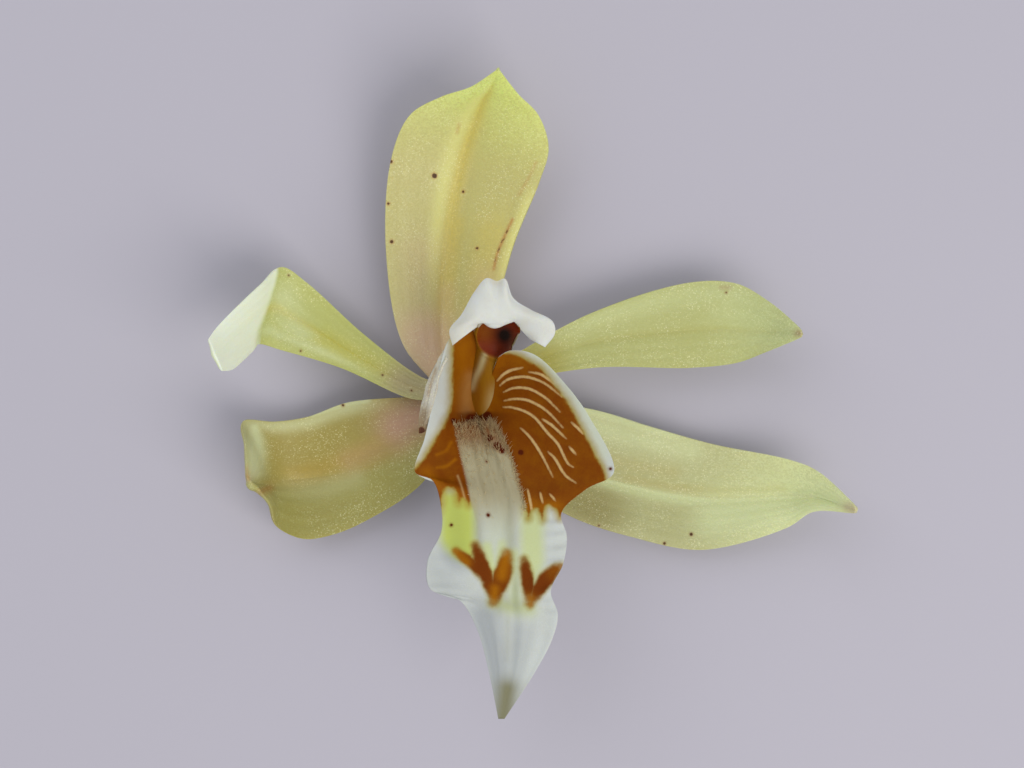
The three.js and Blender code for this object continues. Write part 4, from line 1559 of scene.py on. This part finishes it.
    groove_depth: float = 0.22
    fold_height: float = 0.1
    crimp_height: float = 0.13
    lobe_wave: float = 0.08
    rows: int = 250
    row_weight: Points = ((0.0, 1.7), (0.36, 1.7), (0.42, 1.0), (1.0, 1.0))
    columns: Sequence[tuple[float, float, int]] = ((-1.0, -0.5, 96), (-0.5, 0.5, 44), (0.5, 1.0, 54))

    def surface(self, u: Array, v: Array) -> Array:
        """The upper face without its keels: out to the margin, and up by half of w^2.2 + w^2(3 - 2w).

        The share w of the way to the margin covers the flat band beside the middle line up to |v| = 0.5, and
        the rest beyond it.

        Args:
            u: each point's place along the lip.
            v: its place from the left margin to the right one.

        Returns:
            The points.
        """
        centre = Rail(self.middle).at(u)
        margin = np.where((v < 0)[..., None], Rail(self.left).at(u), Rail(self.right).at(u))
        reach = margin - centre
        run = np.hypot(reach[..., 0], reach[..., 1])
        band = np.minimum(self.band_half_width / np.maximum(run, 1e-6), self.band_share)
        side = np.abs(v)
        w = np.where(side <= 0.5, band * 2 * side, band + (1 - band) * (2 * side - 1))
        climb = (w**2.2 + w * w * (3 - 2 * w)) / 2
        points = centre + reach * w[..., None]
        points[..., 2] = centre[..., 2] + reach[..., 2] * climb
        return points

    def band_depth(self, x: Array, y: Array) -> Array:
        """How far inside the keel band's outline each point is."""
        return patch(x, y, [*self.clean_edge, *self.fringed_edge])

    def keels(self, x: Array, y: Array, u: Array) -> Array:
        """The keel band's height: a low plateau with three crests, tallest near a third of the lip's length.

        The crests are bells about the band's middle line and about a line on each side of it.

        Args:
            x: first coordinate of each point.
            y: second coordinate of each point.
            u: its place along the lip.

        Returns:
            The heights.
        """
        start = np.asarray(self.clean_edge)
        across = np.asarray(self.fringed_edge)[::-1] - start
        lines = [start + across * share for share in self.crest_places]
        crests = sum(bell(plan_distance(x, y, line)[0], 0.0, self.crest_width) for line in lines)
        plateau = ramp(self.band_depth(x, y), -0.05, 0.3) * ramp(y, -10.8, -8.0)
        return self.keel_height * bell(u, 0.32, 0.2) * plateau * (1 + 0.8 * crests) / 2

    def chevron_depth(self, x: Array, y: Array) -> Array:
        """How far inside the nearest chevron stroke each point is."""
        strokes = [stroke(x, y, line, width, self.chevron_taper) for line, width in self.chevrons]
        return np.max(strokes, axis=0)

    def relief(self, x: Array, y: Array, u: Array, v: Array, marks: Marks) -> Array:
        """How far the skin stands off the trough.

        It adds the keels with their crumbled skin, raised stripes, a median groove and side folds on the
        mid-lobe, its crimped margins and the side lobes' waves.

        Args:
            x: first coordinate of each point.
            y: second coordinate of each point.
            u: its place along the lip.
            v: its place from the left margin to the right one.
            marks: the lip's marks.

        Returns:
            The heights.
        """
        side = np.abs(v)
        stripes = self.stripe_height * ramp(marks[Mark.STRIPE], -0.15, 0.03)
        crumbs = self.crumb_height * ripple(x * 3, y, 1.5, 71, 11) * marks[Mark.KEEL]
        far = ramp(u, 0.56, 0.72)
        groove = -self.groove_depth * bell(side, 0.0, 0.14) * far * ramp(1 - u, 0.0, 0.2)
        folds = self.fold_height * ripple(u * 5, v * 3, 1.5, 73) * far * ramp(1 - u, 0.0, 0.15)
        crimped = ramp(side, 0.62, 1.0) * ramp(u, 0.42, 0.55) * ramp(1 - u, 0.1, 0.3)
        crimp = self.crimp_height * ripple(u * 40, v, 2.0, 79) * crimped
        waved = ramp(side, 0.5, 1.0) * ramp(0.45 - u, 0.0, 0.1)
        lobes = self.lobe_wave * ripple(u * 22, v * 3, 2.4, 83) * waved
        return self.keels(x, y, u) + stripes + crumbs + groove + folds + crimp + lobes

    def paint(self, x: Array, y: Array) -> Marks:
        """The lip's marks, all drawn in plan.

        Args:
            x: first coordinate of each point.
            y: second coordinate of each point.

        Returns:
            The marks.
        """
        blank = np.zeros_like(x)
        strong = 0.9 * ramp(patch(x, y, self.strong_yellow), -0.7, 0.4)
        faint = 0.5 * ramp(patch(x, y, self.faint_yellow), -0.7, 0.4)
        fade_in = 0.15 + 0.85 * ramp(-y, 2.2, 4.6)
        marks = {
            Mark.STRIPE: np.max([stroke(x, y, line, self.stripe_width) for line in self.stripes], axis=0),
            Mark.BROWN: patch(x, y, self.brown),
            Mark.CHEVRON: self.chevron_depth(x, y),
            Mark.YELLOW: np.maximum(strong, faint),
            Mark.KEEL: ramp(self.band_depth(x, y), -0.04, 0.15) * fade_in * ramp(y, -10.5, -7.0),
            Mark.MAROON: 0.8 * ramp(-y, 0.85, 1.3) * ramp(y, -2.6, -1.7) * bell(x, 1.5, 1.7),
            Mark.GOLD: blank,
            Mark.PALE_AND_HIGHLIGHT: blank.copy(),
            Mark.TAN: blank.copy(),
            Mark.PAINTED_SHADE: blank.copy(),
        }
        for wash in self.washes:
            wash.add_to(marks, x, y)
        return marks

    def build(self) -> bpy.types.Object:
        """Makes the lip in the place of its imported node.

        Returns:
            The object.
        """
        rails = [Rail(self.middle), Rail(self.left), Rail(self.right)]
        u, v, share = sheet_grid(rails, self.rows, column_places(*self.columns), self.row_weight)
        drawn = self.surface(u, v)
        x, y = drawn[..., 0], drawn[..., 1]
        normals = grid_normals(drawn)
        marks = self.paint(x, y)
        full = rim_profile(share, v, 0.015)
        upper = drawn + normals * (self.relief(x, y, u, v, marks) * full)[..., None]
        depth = self.rim_thickness + (self.thickness - self.rim_thickness) * bell(v, 0.0, 0.5)
        lower = drawn - normals * (depth * full)[..., None]
        sheet = Leaflet("lip", upper, lower, share, v, marks, back_share=0.15)
        return settle(sheet.build(), LipFinish().material(self.spots), Slot.LIP, "lip")


@dataclass
class KeelHairs:
    """The short pale hairs that cover the keel band's upper end and fringe its edge towards +X."""

    lip: Lip
    count: int = 1700
    length: tuple[float, float] = (0.22, 0.55)
    root_radius: float = 0.026
    root_depth: float = 0.05
    narrowing: float = 0.8
    rise: float = 0.7
    spread: float = 0.45
    tousle: float = 0.35
    droop: float = 0.3
    crowding: tuple[float, float] = (0.9, 4.5)
    fringe_share: float = 0.35
    fringe_width: float = 0.03
    search_grid: tuple[int, int] = (240, 160)
    batch: int = 200
    sides: int = 4
    rings: int = 4
    seed: int = 97

    def roots(self, draw: np.random.Generator) -> tuple[Array, Array]:
        """Draws the hairs' places in plan: each lies between the band's edges, most near its upper end.

        Places down the band follow a beta curve, and the fringe's places across it a bell curve at its edge.

        Args:
            draw: the random draw.

        Returns:
            Their first and second coordinates.
        """
        down = draw.beta(*self.crowding, self.count)
        across = draw.uniform(0.02, 0.98, self.count)
        fringe = draw.uniform(0, 1, self.count) < self.fringe_share
        across[fringe] = 1.0 - np.abs(draw.normal(0, self.fringe_width, fringe.sum()))
        down[fringe] = draw.uniform(0.0, 0.8, fringe.sum())
        start = Rail(self.lip.clean_edge).at(down)
        stop = Rail(self.lip.fringed_edge[::-1]).at(down)
        place = start + (stop - start) * across[:, None]
        return place[:, 0], place[:, 1]

    def ground(self, x: Array, y: Array) -> tuple[Array, Array, Array]:
        """Finds the lip's skin under each place, as the nearest point of a grid of its surface.

        Args:
            x: first coordinate of each place.
            y: second coordinate of each place.

        Returns:
            The points on the keels, the normals there, and the way down along the lip.
        """
        rows, columns = self.search_grid
        u, v = np.meshgrid(np.linspace(0.02, 0.6, rows), np.linspace(-0.75, 0.75, columns), indexing="ij")
        drawn = self.lip.surface(u, v)
        standing = self.lip.keels(drawn[..., 0], drawn[..., 1], u)
        points = drawn + grid_normals(drawn) * standing[..., None]
        normals = grid_normals(points).reshape(-1, 3)
        along = unit(np.gradient(points, axis=0)).reshape(-1, 3)
        flat = points.reshape(-1, 3)
        nearest = np.empty(len(x), int)
        for start in range(0, len(x), self.batch):
            part = slice(start, start + self.batch)
            away = (flat[None, :, 0] - x[part, None]) ** 2 + (flat[None, :, 1] - y[part, None]) ** 2
            nearest[part] = away.argmin(1)
        return flat[nearest], normals[nearest], along[nearest]

    def build(self) -> bpy.types.Object:
        """Makes all hairs as one mesh: each is a tapered tube along root + t * lean + t^2 * droop.

        Returns:
            The object.
        """
        draw = np.random.default_rng(self.seed)
        x, y = self.roots(draw)
        root, normal, along = self.ground(x, y)
        near_top = ramp(root[:, 1], -5.2, -2.8)
        reach = draw.uniform(*self.length, self.count) * (0.6 + 0.5 * near_top)
        out = np.zeros_like(root)
        out[:, 0] = np.sign(root[:, 0] + 0.25 * root[:, 1] - 1.6)
        back = along * (0.2 + 0.8 * near_top[:, None])
        lean = normal * self.rise - back + out * self.spread + draw.normal(0, self.tousle, root.shape)
        lean = unit(lean) * reach[:, None]
        droop = draw.normal(0, self.droop, root.shape) * reach[:, None]
        t = np.linspace(0, 1, self.rings)[None, :, None]
        line = (root - self.root_depth * normal)[:, None] + t * lean[:, None] + t * t * droop[:, None]
        side = unit(np.cross(lean, [0.3, 0.9, 0.2]))
        front = unit(np.cross(side, lean))
        angle = np.linspace(0, 2 * math.pi, self.sides, endpoint=False)
        circle = np.cos(angle)[None, :, None] * side[:, None] + np.sin(angle)[None, :, None] * front[:, None]
        radius = self.root_radius * (1 - self.narrowing * t[..., None])
        points = line[:, :, None] + radius * circle[:, None]
        numbers = np.arange(points.size // 3).reshape(self.count, self.rings, self.sides)
        following = np.roll(numbers, -1, axis=2)
        walls = np.stack([numbers[:, :-1], following[:, :-1], following[:, 1:], numbers[:, 1:]], -1)
        faces = np.vstack([walls.reshape(-1, 4), numbers[:, 0, ::-1], numbers[:, -1]])
        shade = near_top[:, None, None] * (1 - 0.9 * t) * draw.uniform(0.5, 1, (self.count, 1, 1))
        marks = {Mark.GOLD: np.broadcast_to(shade, numbers.shape).ravel()}
        piece = make_object("keel_hairs", points.reshape(-1, 3), faces, marks, np.zeros((numbers.size, 2)))
        skin = PlainFinish("keel_hair", (0.7, 0.57, 0.29), (0.27, 0.095, 0.01), 0.6, 0.2, 0.0).material()
        return settle(piece, skin, Slot.LIP)


def margin_fold() -> Blade:
    """The small dry fold on the outside of the lip's right margin, with a brown tip.

    Returns:
        The blade, which rides with the lip and stands for no node of its own.
    """
    return Blade(
        "lip_margin_fold",
        Slot.LIP,
        BladeFinish(
            "dry_fold",
            base=(0.68, 0.65, 0.54),
            shade=(0.46, 0.38, 0.24),
            painted_shade=(0.4, 0.33, 0.2),
            pale=(0.66, 0.65, 0.58),
            gold=(0.45, 0.36, 0.2),
            blush=(0.3, 0.2, 0.1),
            tip=(0.4, 0.3, 0.18),
            stain=(0.1, 0.025, 0.005),
        ),
        midrib=[(-0.9, 3.2, 10.9), (-1.55, 1.7, 10.9), (-1.95, 0.4, 10.8), (-2.3, -0.9, 10.6),
                (-2.65, -2.6, 10.3)],
        left=[(-0.7, 3.0, 11.2), (-1.25, 1.9, 11.3), (-1.55, 0.5, 11.2), (-1.85, -0.8, 11.0),
              (-2.4, -2.5, 10.5)],
        right=[(-1.0, 3.6, 10.4), (-2.1, 1.5, 10.3), (-2.5, 0.2, 10.2), (-2.8, -1.1, 10.0),
               (-2.85, -2.6, 10.1)],
        thickness=0.3,
        rim_thickness=0.2,
        waviness=0.06,
        veins=3,
        seed=61,
        rows=60,
        columns=24,
        gold_strength=0.2,
        pale_and_highlight_band=(-0.5, 0.3, 0.5),
        washes=[
            Wash(Mark.BLUSH, ((-2.5, -1.2), (-2.65, -2.5)), 0.6, 0.8),
            Wash(Mark.TAN, ((-1.6, 2.2), (-1.9, 1.0), (-2.1, 0.2)), 0.14, 0.5),
        ],
        spots=[(-2.65, -2.4, 0.28)],
        back_share=0.8,
        own_node=False,
    )


# The column with its hood and cap


@dataclass
class Column:
    """The column: a half-round stalk with the hollow stigma in its front, under a flaring hood.

    Its foot flares, wider at its sides and swept back there, to meet the lip.
    """

    axis: Points = (
        (1.9, -1.4, 5.0), (2.1, 0.7, 6.7), (2.4, 2.3, 8.3), (2.75, 3.6, 9.6), (2.95, 4.9, 11.0),
        (3.0, 5.7, 11.9),
    )
    half_width: tuple[float, ...] = (1.4, 1.15, 1.05, 1.15, 1.7, 1.7)
    front_depth: tuple[float, ...] = (0.8, 0.9, 0.85, 0.75, 0.8, 0.7)
    back_depth: tuple[float, ...] = (0.3, 0.7, 0.75, 0.85, 1.1, 1.1)
    flare_out: float = 0.35
    flare_back: float = 0.85
    stigma_centre: tuple[float, float] = (3.1, 4.5)
    stigma_half: tuple[float, float] = (1.65, 1.5)
    stigma_depth: float = 0.8
    rim_height: float = 0.1
    pale_line: Points = ((2.0, 3.15), (1.66, 2.25), (1.28, 1.5), (1.03, 0.75))
    rows: int = 190
    columns: int = 144

    def paint(self, x: Array, y: Array, u: Array, sideways: Array, facing: Array, r: Array) -> Marks:
        """The column's marks.

        GOLD covers the front, and all round below the hood. The pale mark is a drawn streak and a soft
        painted highlight beside the middle. MAROON is the stigma, less red where light falls on it, and the
        groove below it.
        The near black mark is painted shade in the stigma's deepest part.

        Args:
            x: first coordinate of each point.
            y: second coordinate of each point.
            u: its place along the stalk.
            sideways: how far it is from the axis towards +X.
            facing: 1 on the front and 0 on the back.
            r: its distance from the stigma's centre, as a share of the stigma's half sizes.

        Returns:
            The marks.
        """
        cx, cy = self.stigma_centre
        streak = bell(plan_distance(x, y, self.pale_line)[0], 0.0, 0.24)
        # Painted highlight beside the middle of the column's foot
        middle = 0.5 * bell(sideways, 0.5, 0.45) * ramp(0.4 - u, 0, 0.25)
        groove = 0.3 * bell(sideways, -0.6, 0.3) * ramp(0.35 - u, 0, 0.15)
        # Painted shade, deepest right of the stigma's centre
        deep = bell(np.hypot(x - cx - 0.4, y - cy - 0.15), 0.0, 0.76)
        lit = 0.35 * bell(np.hypot(x - cx + 1.1, y - cy - 0.4), 0.0, 0.8)
        return {
            Mark.GOLD: np.maximum(facing * ramp(0.99 - u, 0.0, 0.05), 0.7 * ramp(0.9 - u, 0, 0.2)),
            Mark.PALE_AND_HIGHLIGHT: np.clip(facing * (streak + middle), 0, 1),
            Mark.MAROON: facing * np.maximum(ramp(1.04 - r, 0.0, 0.1) * (1 - lit), groove),
            Mark.HOLLOW_SHADE: facing * np.minimum(1.15 * deep, 1) * ramp(1.0 - r, 0.0, 0.2),
        }

    def build(self, skin: bpy.types.Material) -> bpy.types.Object:
        """Makes the stalk: rings of two half ellipses around the axis, pressed in at the stigma.

        The front is pressed back by stigma_depth times (1 - r^4), where r is the distance from the stigma's
        centre in plan, as a share of its half sizes, with a low rim around it.

        Args:
            skin: the column's material.

        Returns:
            The object.
        """
        u, angle, centre, side, front = tube_grid(self.axis, self.rows, self.columns)
        depth = np.where(np.sin(angle) > 0, level(self.front_depth, u), level(self.back_depth, u))
        close = np.sqrt(1 - np.clip(np.maximum(0.03 - u, u - 0.96) / 0.04, 0, 1) ** 2)
        flare = ramp(0.85 - u, 0.0, 0.5)
        sideways = level(self.half_width, u) * np.cos(angle) * close * (1 + self.flare_out * flare)
        forwards = depth * np.sin(angle) * close - self.flare_back * flare * np.cos(angle) ** 2
        points = centre + side * sideways[..., None] + front * forwards[..., None]
        away = (points[..., :2] - self.stigma_centre) / self.stigma_half
        r = np.hypot(away[..., 0], away[..., 1])
        facing = ramp(np.sin(angle), 0.0, 0.2)
        pressed = self.stigma_depth * np.maximum(1 - r**4, 0) - self.rim_height * bell(r, 1.06, 0.1)
        points = points - front * (facing * pressed)[..., None]
        marks = self.paint(points[..., 0], points[..., 1], u, sideways, facing, r)
        return settle(closed_tube("column", points, marks), skin, Slot.COLUMN, "column")


@dataclass
class Hood:
    """The hood: a thin flaring wall with three lobes at the column's end."""

    root: Points = (
        (1.5, 5.2, 12.45), (1.55, 5.35, 12.6), (1.8, 5.45, 12.75), (2.3, 5.44, 12.88), (2.8, 5.44, 12.92),
        (3.1, 5.46, 12.92), (3.5, 5.52, 12.88), (3.9, 5.57, 12.8), (4.25, 5.55, 12.7), (4.5, 5.35, 12.6),
        (4.75, 4.95, 12.5), (5.35, 4.3, 12.3),
    )
    edge: Points = (
        (-0.3, 3.85, 12.1), (-0.5, 5.0, 12.3), (0.35, 6.1, 12.3), (1.3, 7.75, 12.4), (2.2, 8.75, 12.6),
        (2.95, 8.55, 12.5), (3.55, 8.7, 12.7), (4.15, 7.3, 12.8), (5.4, 6.45, 13.1), (7.0, 5.55, 13.6),
        (7.15, 4.7, 13.6), (6.45, 3.7, 13.3),
    )
    arch: float = 1.6
    notch: float = 0.46
    thickness: float = 0.4
    rows: int = 220
    columns: int = 64

    def build(self, skin: bpy.types.Material) -> bpy.types.Object:
        """Makes the wall: from the root line to the edge line, arched up by arch * w(1 - w).

        Folds run out to the edge, and a crease runs out to its notch.

        Args:
            skin: the column's material.

        Returns:
            The object.
        """
        root, edge = Rail(self.root), Rail(self.edge)
        across = np.sin(np.linspace(-1, 1, self.columns) * math.pi / 2)
        u, v, share = sheet_grid([edge, root], self.rows, across)
        w = (1 - v) / 2
        inner = root.at(u)
        drawn = inner + (edge.at(u) - inner) * w[..., None]
        drawn[..., 2] += self.arch * (w * (1 - w))
        normals = grid_normals(drawn)
        folds = 0.06 * ripple(share * 6, w, 1.6, 101) * ramp(w, 0.3, 1.0)
        crease = -0.1 * bell(share, self.notch, 0.03) * ramp(w, 0.35, 1.0)
        full = rim_profile(share, v, 0.03)
        upper = drawn + normals * ((folds + crease) * full)[..., None]
        lower = drawn - normals * (self.thickness * full)[..., None]
        blank = np.zeros_like(u)
        pale = 0.35 * bell(share, self.notch, 0.04) * ramp(w, 0.8, 1.0) + 0.15 * ramp(0.25 - share, 0.0, 0.2)
        marks = {Mark.GOLD: blank, Mark.PALE_AND_HIGHLIGHT: pale, Mark.MAROON: blank, Mark.HOLLOW_SHADE: blank}
        sheet = Leaflet("column_hood", upper, lower, share, v, marks, back_share=0.5)
        return settle(sheet.build(), skin, Slot.COLUMN)


@dataclass
class AntherCap:
    """The anther cap: a small scalloped dome whose lower rim hangs over the stigma."""

    centre: tuple[float, float, float] = (2.95, 6.5, 12.0)
    radii: tuple[float, float, float] = (1.75, 1.4, 0.75)
    tilt: float = 0.4
    scallops: int = 4
    scallop_depth: float = 0.07
    scallop_turn: float = 0.77
    furrow_depth: float = 0.03
    rows: int = 90
    columns: int = 160

    def build(self) -> bpy.types.Object:
        """Makes the dome: a sphere stretched to its radii, tipped forwards, swelled by a cosine round it.

        A low furrow runs down the middle of its top.

        Returns:
            The object.
        """
        polar = np.linspace(math.pi - 0.02, 0.02, self.rows)
        around = np.linspace(0, 2 * math.pi, self.columns, endpoint=False)
        height, angle = np.meshgrid(polar, around, indexing="ij")
        ball = np.stack([np.sin(height) * np.cos(angle), np.sin(height) * np.sin(angle), np.cos(height)], -1)
        furrow = 1 - self.furrow_depth * bell(ball[..., 0], 0.0, 0.16) * ramp(ball[..., 2], -0.2, 0.4)
        x, y, z = (ball * self.radii * furrow[..., None]).transpose(2, 0, 1)
        low = y * math.cos(self.tilt) + z * math.sin(self.tilt)
        high = z * math.cos(self.tilt) - y * math.sin(self.tilt)
        swell = 1 + self.scallop_depth * np.cos(self.scallops * np.arctan2(low, x) + self.scallop_turn)
        points = np.stack([x * swell, low * swell, high], -1) + np.asarray(self.centre)
        marks = {Mark.GOLD: 0.25 * ramp(-low, 0.9, 1.5)}
        skin = PlainFinish("anther_cap_skin", (0.74, 0.75, 0.7), (0.6, 0.58, 0.48), 0.4, 0.4).material()
        return settle(closed_tube("anther_cap", points, marks), skin, Slot.ANTHER_CAP, "anther_cap")


@dataclass
class Ovary:
    """The ribbed ovary that carries the flower, bending down to lie on the surface as the cut pedicel."""

    axis: Points = (
        (0.6, 0.0, 5.5), (0.5, -0.5, 4.2), (0.2, -1.1, 2.6), (0.0, -0.9, 1.3), (-0.2, 0.7, 0.97),
        (-0.7, 4.0, 0.95), (-1.3, 8.0, 0.85), (-1.8, 13.6, 0.62),
    )
    radius: tuple[float, ...] = (1.4, 1.25, 1.15, 1.1, 1.07, 1.02, 0.85, 0.7)
    ribs: int = 6
    rib_depth: float = 0.07
    rows: int = 240
    columns: int = 120

    def build(self) -> bpy.types.Object:
        """Makes the tube: its radius times 1 - rib_depth * cos(ribs * angle), cut flat at the surface.

        Returns:
            The object.
        """
        u, angle, centre, side, front = tube_grid(self.axis, self.rows, self.columns)
        rib = np.cos(self.ribs * angle)
        close = np.sqrt(1 - np.clip((0.02 - u) / 0.02, 0, 1) ** 2) * (1 - 0.12 * ramp(u, 0.99, 1.0))
        uneven = 1 + 0.012 * ripple(u * 40, np.sin(angle) * 3, 1.5, 113)
        reach = level(self.radius, u) * (1 - self.rib_depth * rib) * close * uneven
        sideways, forwards = reach * np.cos(angle), reach * np.sin(angle)
        points = centre + side * sideways[..., None] + front * forwards[..., None]
        points[..., 2] = np.maximum(points[..., 2], 0.0)
        marks = {Mark.GOLD: np.clip(0.5 * ramp(rib, 0.2, 1.0) + ramp(u, 0.985, 1.0), 0, 1)}
        skin = PlainFinish("ovary_skin", (0.5, 0.36, 0.18), (0.36, 0.2, 0.09), 0.5, 0.25).material()
        return settle(closed_tube("ovary_and_pedicel", points, marks), skin, Slot.OVARY, "ovary_and_pedicel")


# The stage, the light and the camera


@dataclass(frozen=True)
class Lamp:
    """A square area light that looks at the flower."""

    name: str
    place: tuple[float, float, float]
    size: float
    power: float
    colour: Colour

    def build(self) -> None:
        """Adds the light, turned from its own -Z towards the flower."""
        data = bpy.data.lights.new(self.name, "AREA")
        data.size = self.size * MM
        data.energy = self.power
        data.color = self.colour
        holder = bpy.data.objects.new(self.name, data)
        bpy.context.scene.collection.objects.link(holder)
        spot = np.asarray(self.place) * MM
        holder.location = spot.tolist()
        away = unit(spot)
        holder.rotation_euler = (math.acos(away[2]), 0.0, math.atan2(away[1], away[0]) + math.pi / 2)


@dataclass
class Studio:
    """A pale floor, soft daylight from the lower right, and a camera straight above."""

    floor_half: float = 3000.0
    floor_colour: Colour = (0.5, 0.475, 0.53)
    floor_roughness: float = 0.8
    key: Lamp = Lamp("key", (170.0, -150.0, 290.0), 240.0, 0.66, (1.0, 0.98, 0.93))
    fill: Lamp = Lamp("fill", (-160.0, 200.0, 260.0), 300.0, 0.32, (0.95, 0.96, 1.0))
    sky_colour: Colour = (0.9, 0.93, 1.0)
    sky_strength: float = 0.55
    camera_place: tuple[float, float, float] = (4.05, 1.05, 158.0)
    lens: float = 70.3
    sensor: float = 36.0
    near: float = 0.01

    def floor(self) -> None:
        """Lays the pale floor on the plane that the flower rests on."""
        corners = np.array([(-1, -1, 0), (1, -1, 0), (1, 1, 0), (-1, 1, 0)]) * self.floor_half
        floor = make_object("floor", corners, [(0, 1, 2, 3)], {}, np.zeros((4, 2)))
        material = bpy.data.materials.new("pale_floor")
        material.use_nodes = True
        shader = material.node_tree.nodes["Principled BSDF"]
        shader.inputs["Base Color"].default_value = (*self.floor_colour, 1.0)
        shader.inputs["Roughness"].default_value = self.floor_roughness
        floor.data.materials.append(material)

    def sky(self) -> None:
        """Fills the surroundings with even, slightly cool light."""
        world = bpy.data.worlds.new("sky")
        world.use_nodes = True
        background = world.node_tree.nodes["Background"]
        background.inputs[0].default_value = (*self.sky_colour, 1.0)
        background.inputs[1].default_value = self.sky_strength
        bpy.context.scene.world = world

    def camera(self) -> None:
        """Puts the camera straight above, looking down with +Y up in the picture."""
        data = bpy.data.cameras.new("camera")
        data.lens = self.lens
        data.sensor_width = self.sensor
        data.clip_start = self.near
        holder = bpy.data.objects.new("camera", data)
        holder.location = [value * MM for value in self.camera_place]
        bpy.context.scene.collection.objects.link(holder)
        bpy.context.scene.camera = holder

    def build(self) -> None:
        """Makes the floor, the lights and the camera."""
        bpy.context.scene.view_settings.view_transform = "Standard"
        self.floor()
        self.key.build()
        self.fill.build()
        self.sky()
        self.camera()


def main() -> None:
    """Builds the groups, the studio and the flower from its blades inwards, and reports each piece."""
    for make_group in (cell_group, vein_group, edge_group, spot_group):
        make_group()
    Studio().build()
    pieces = Perianth().build()
    lip = Lip()
    pieces += [lip.build(), KeelHairs(lip).build(), margin_fold().build()]
    skin = ColumnFinish().material()
    pieces += [Column().build(skin), Hood().build(skin), AntherCap().build(), Ovary().build()]
    for piece in pieces:
        log.info("%s: %d faces", piece.name, len(piece.data.polygons))


if __name__ == "__main__":
    main()
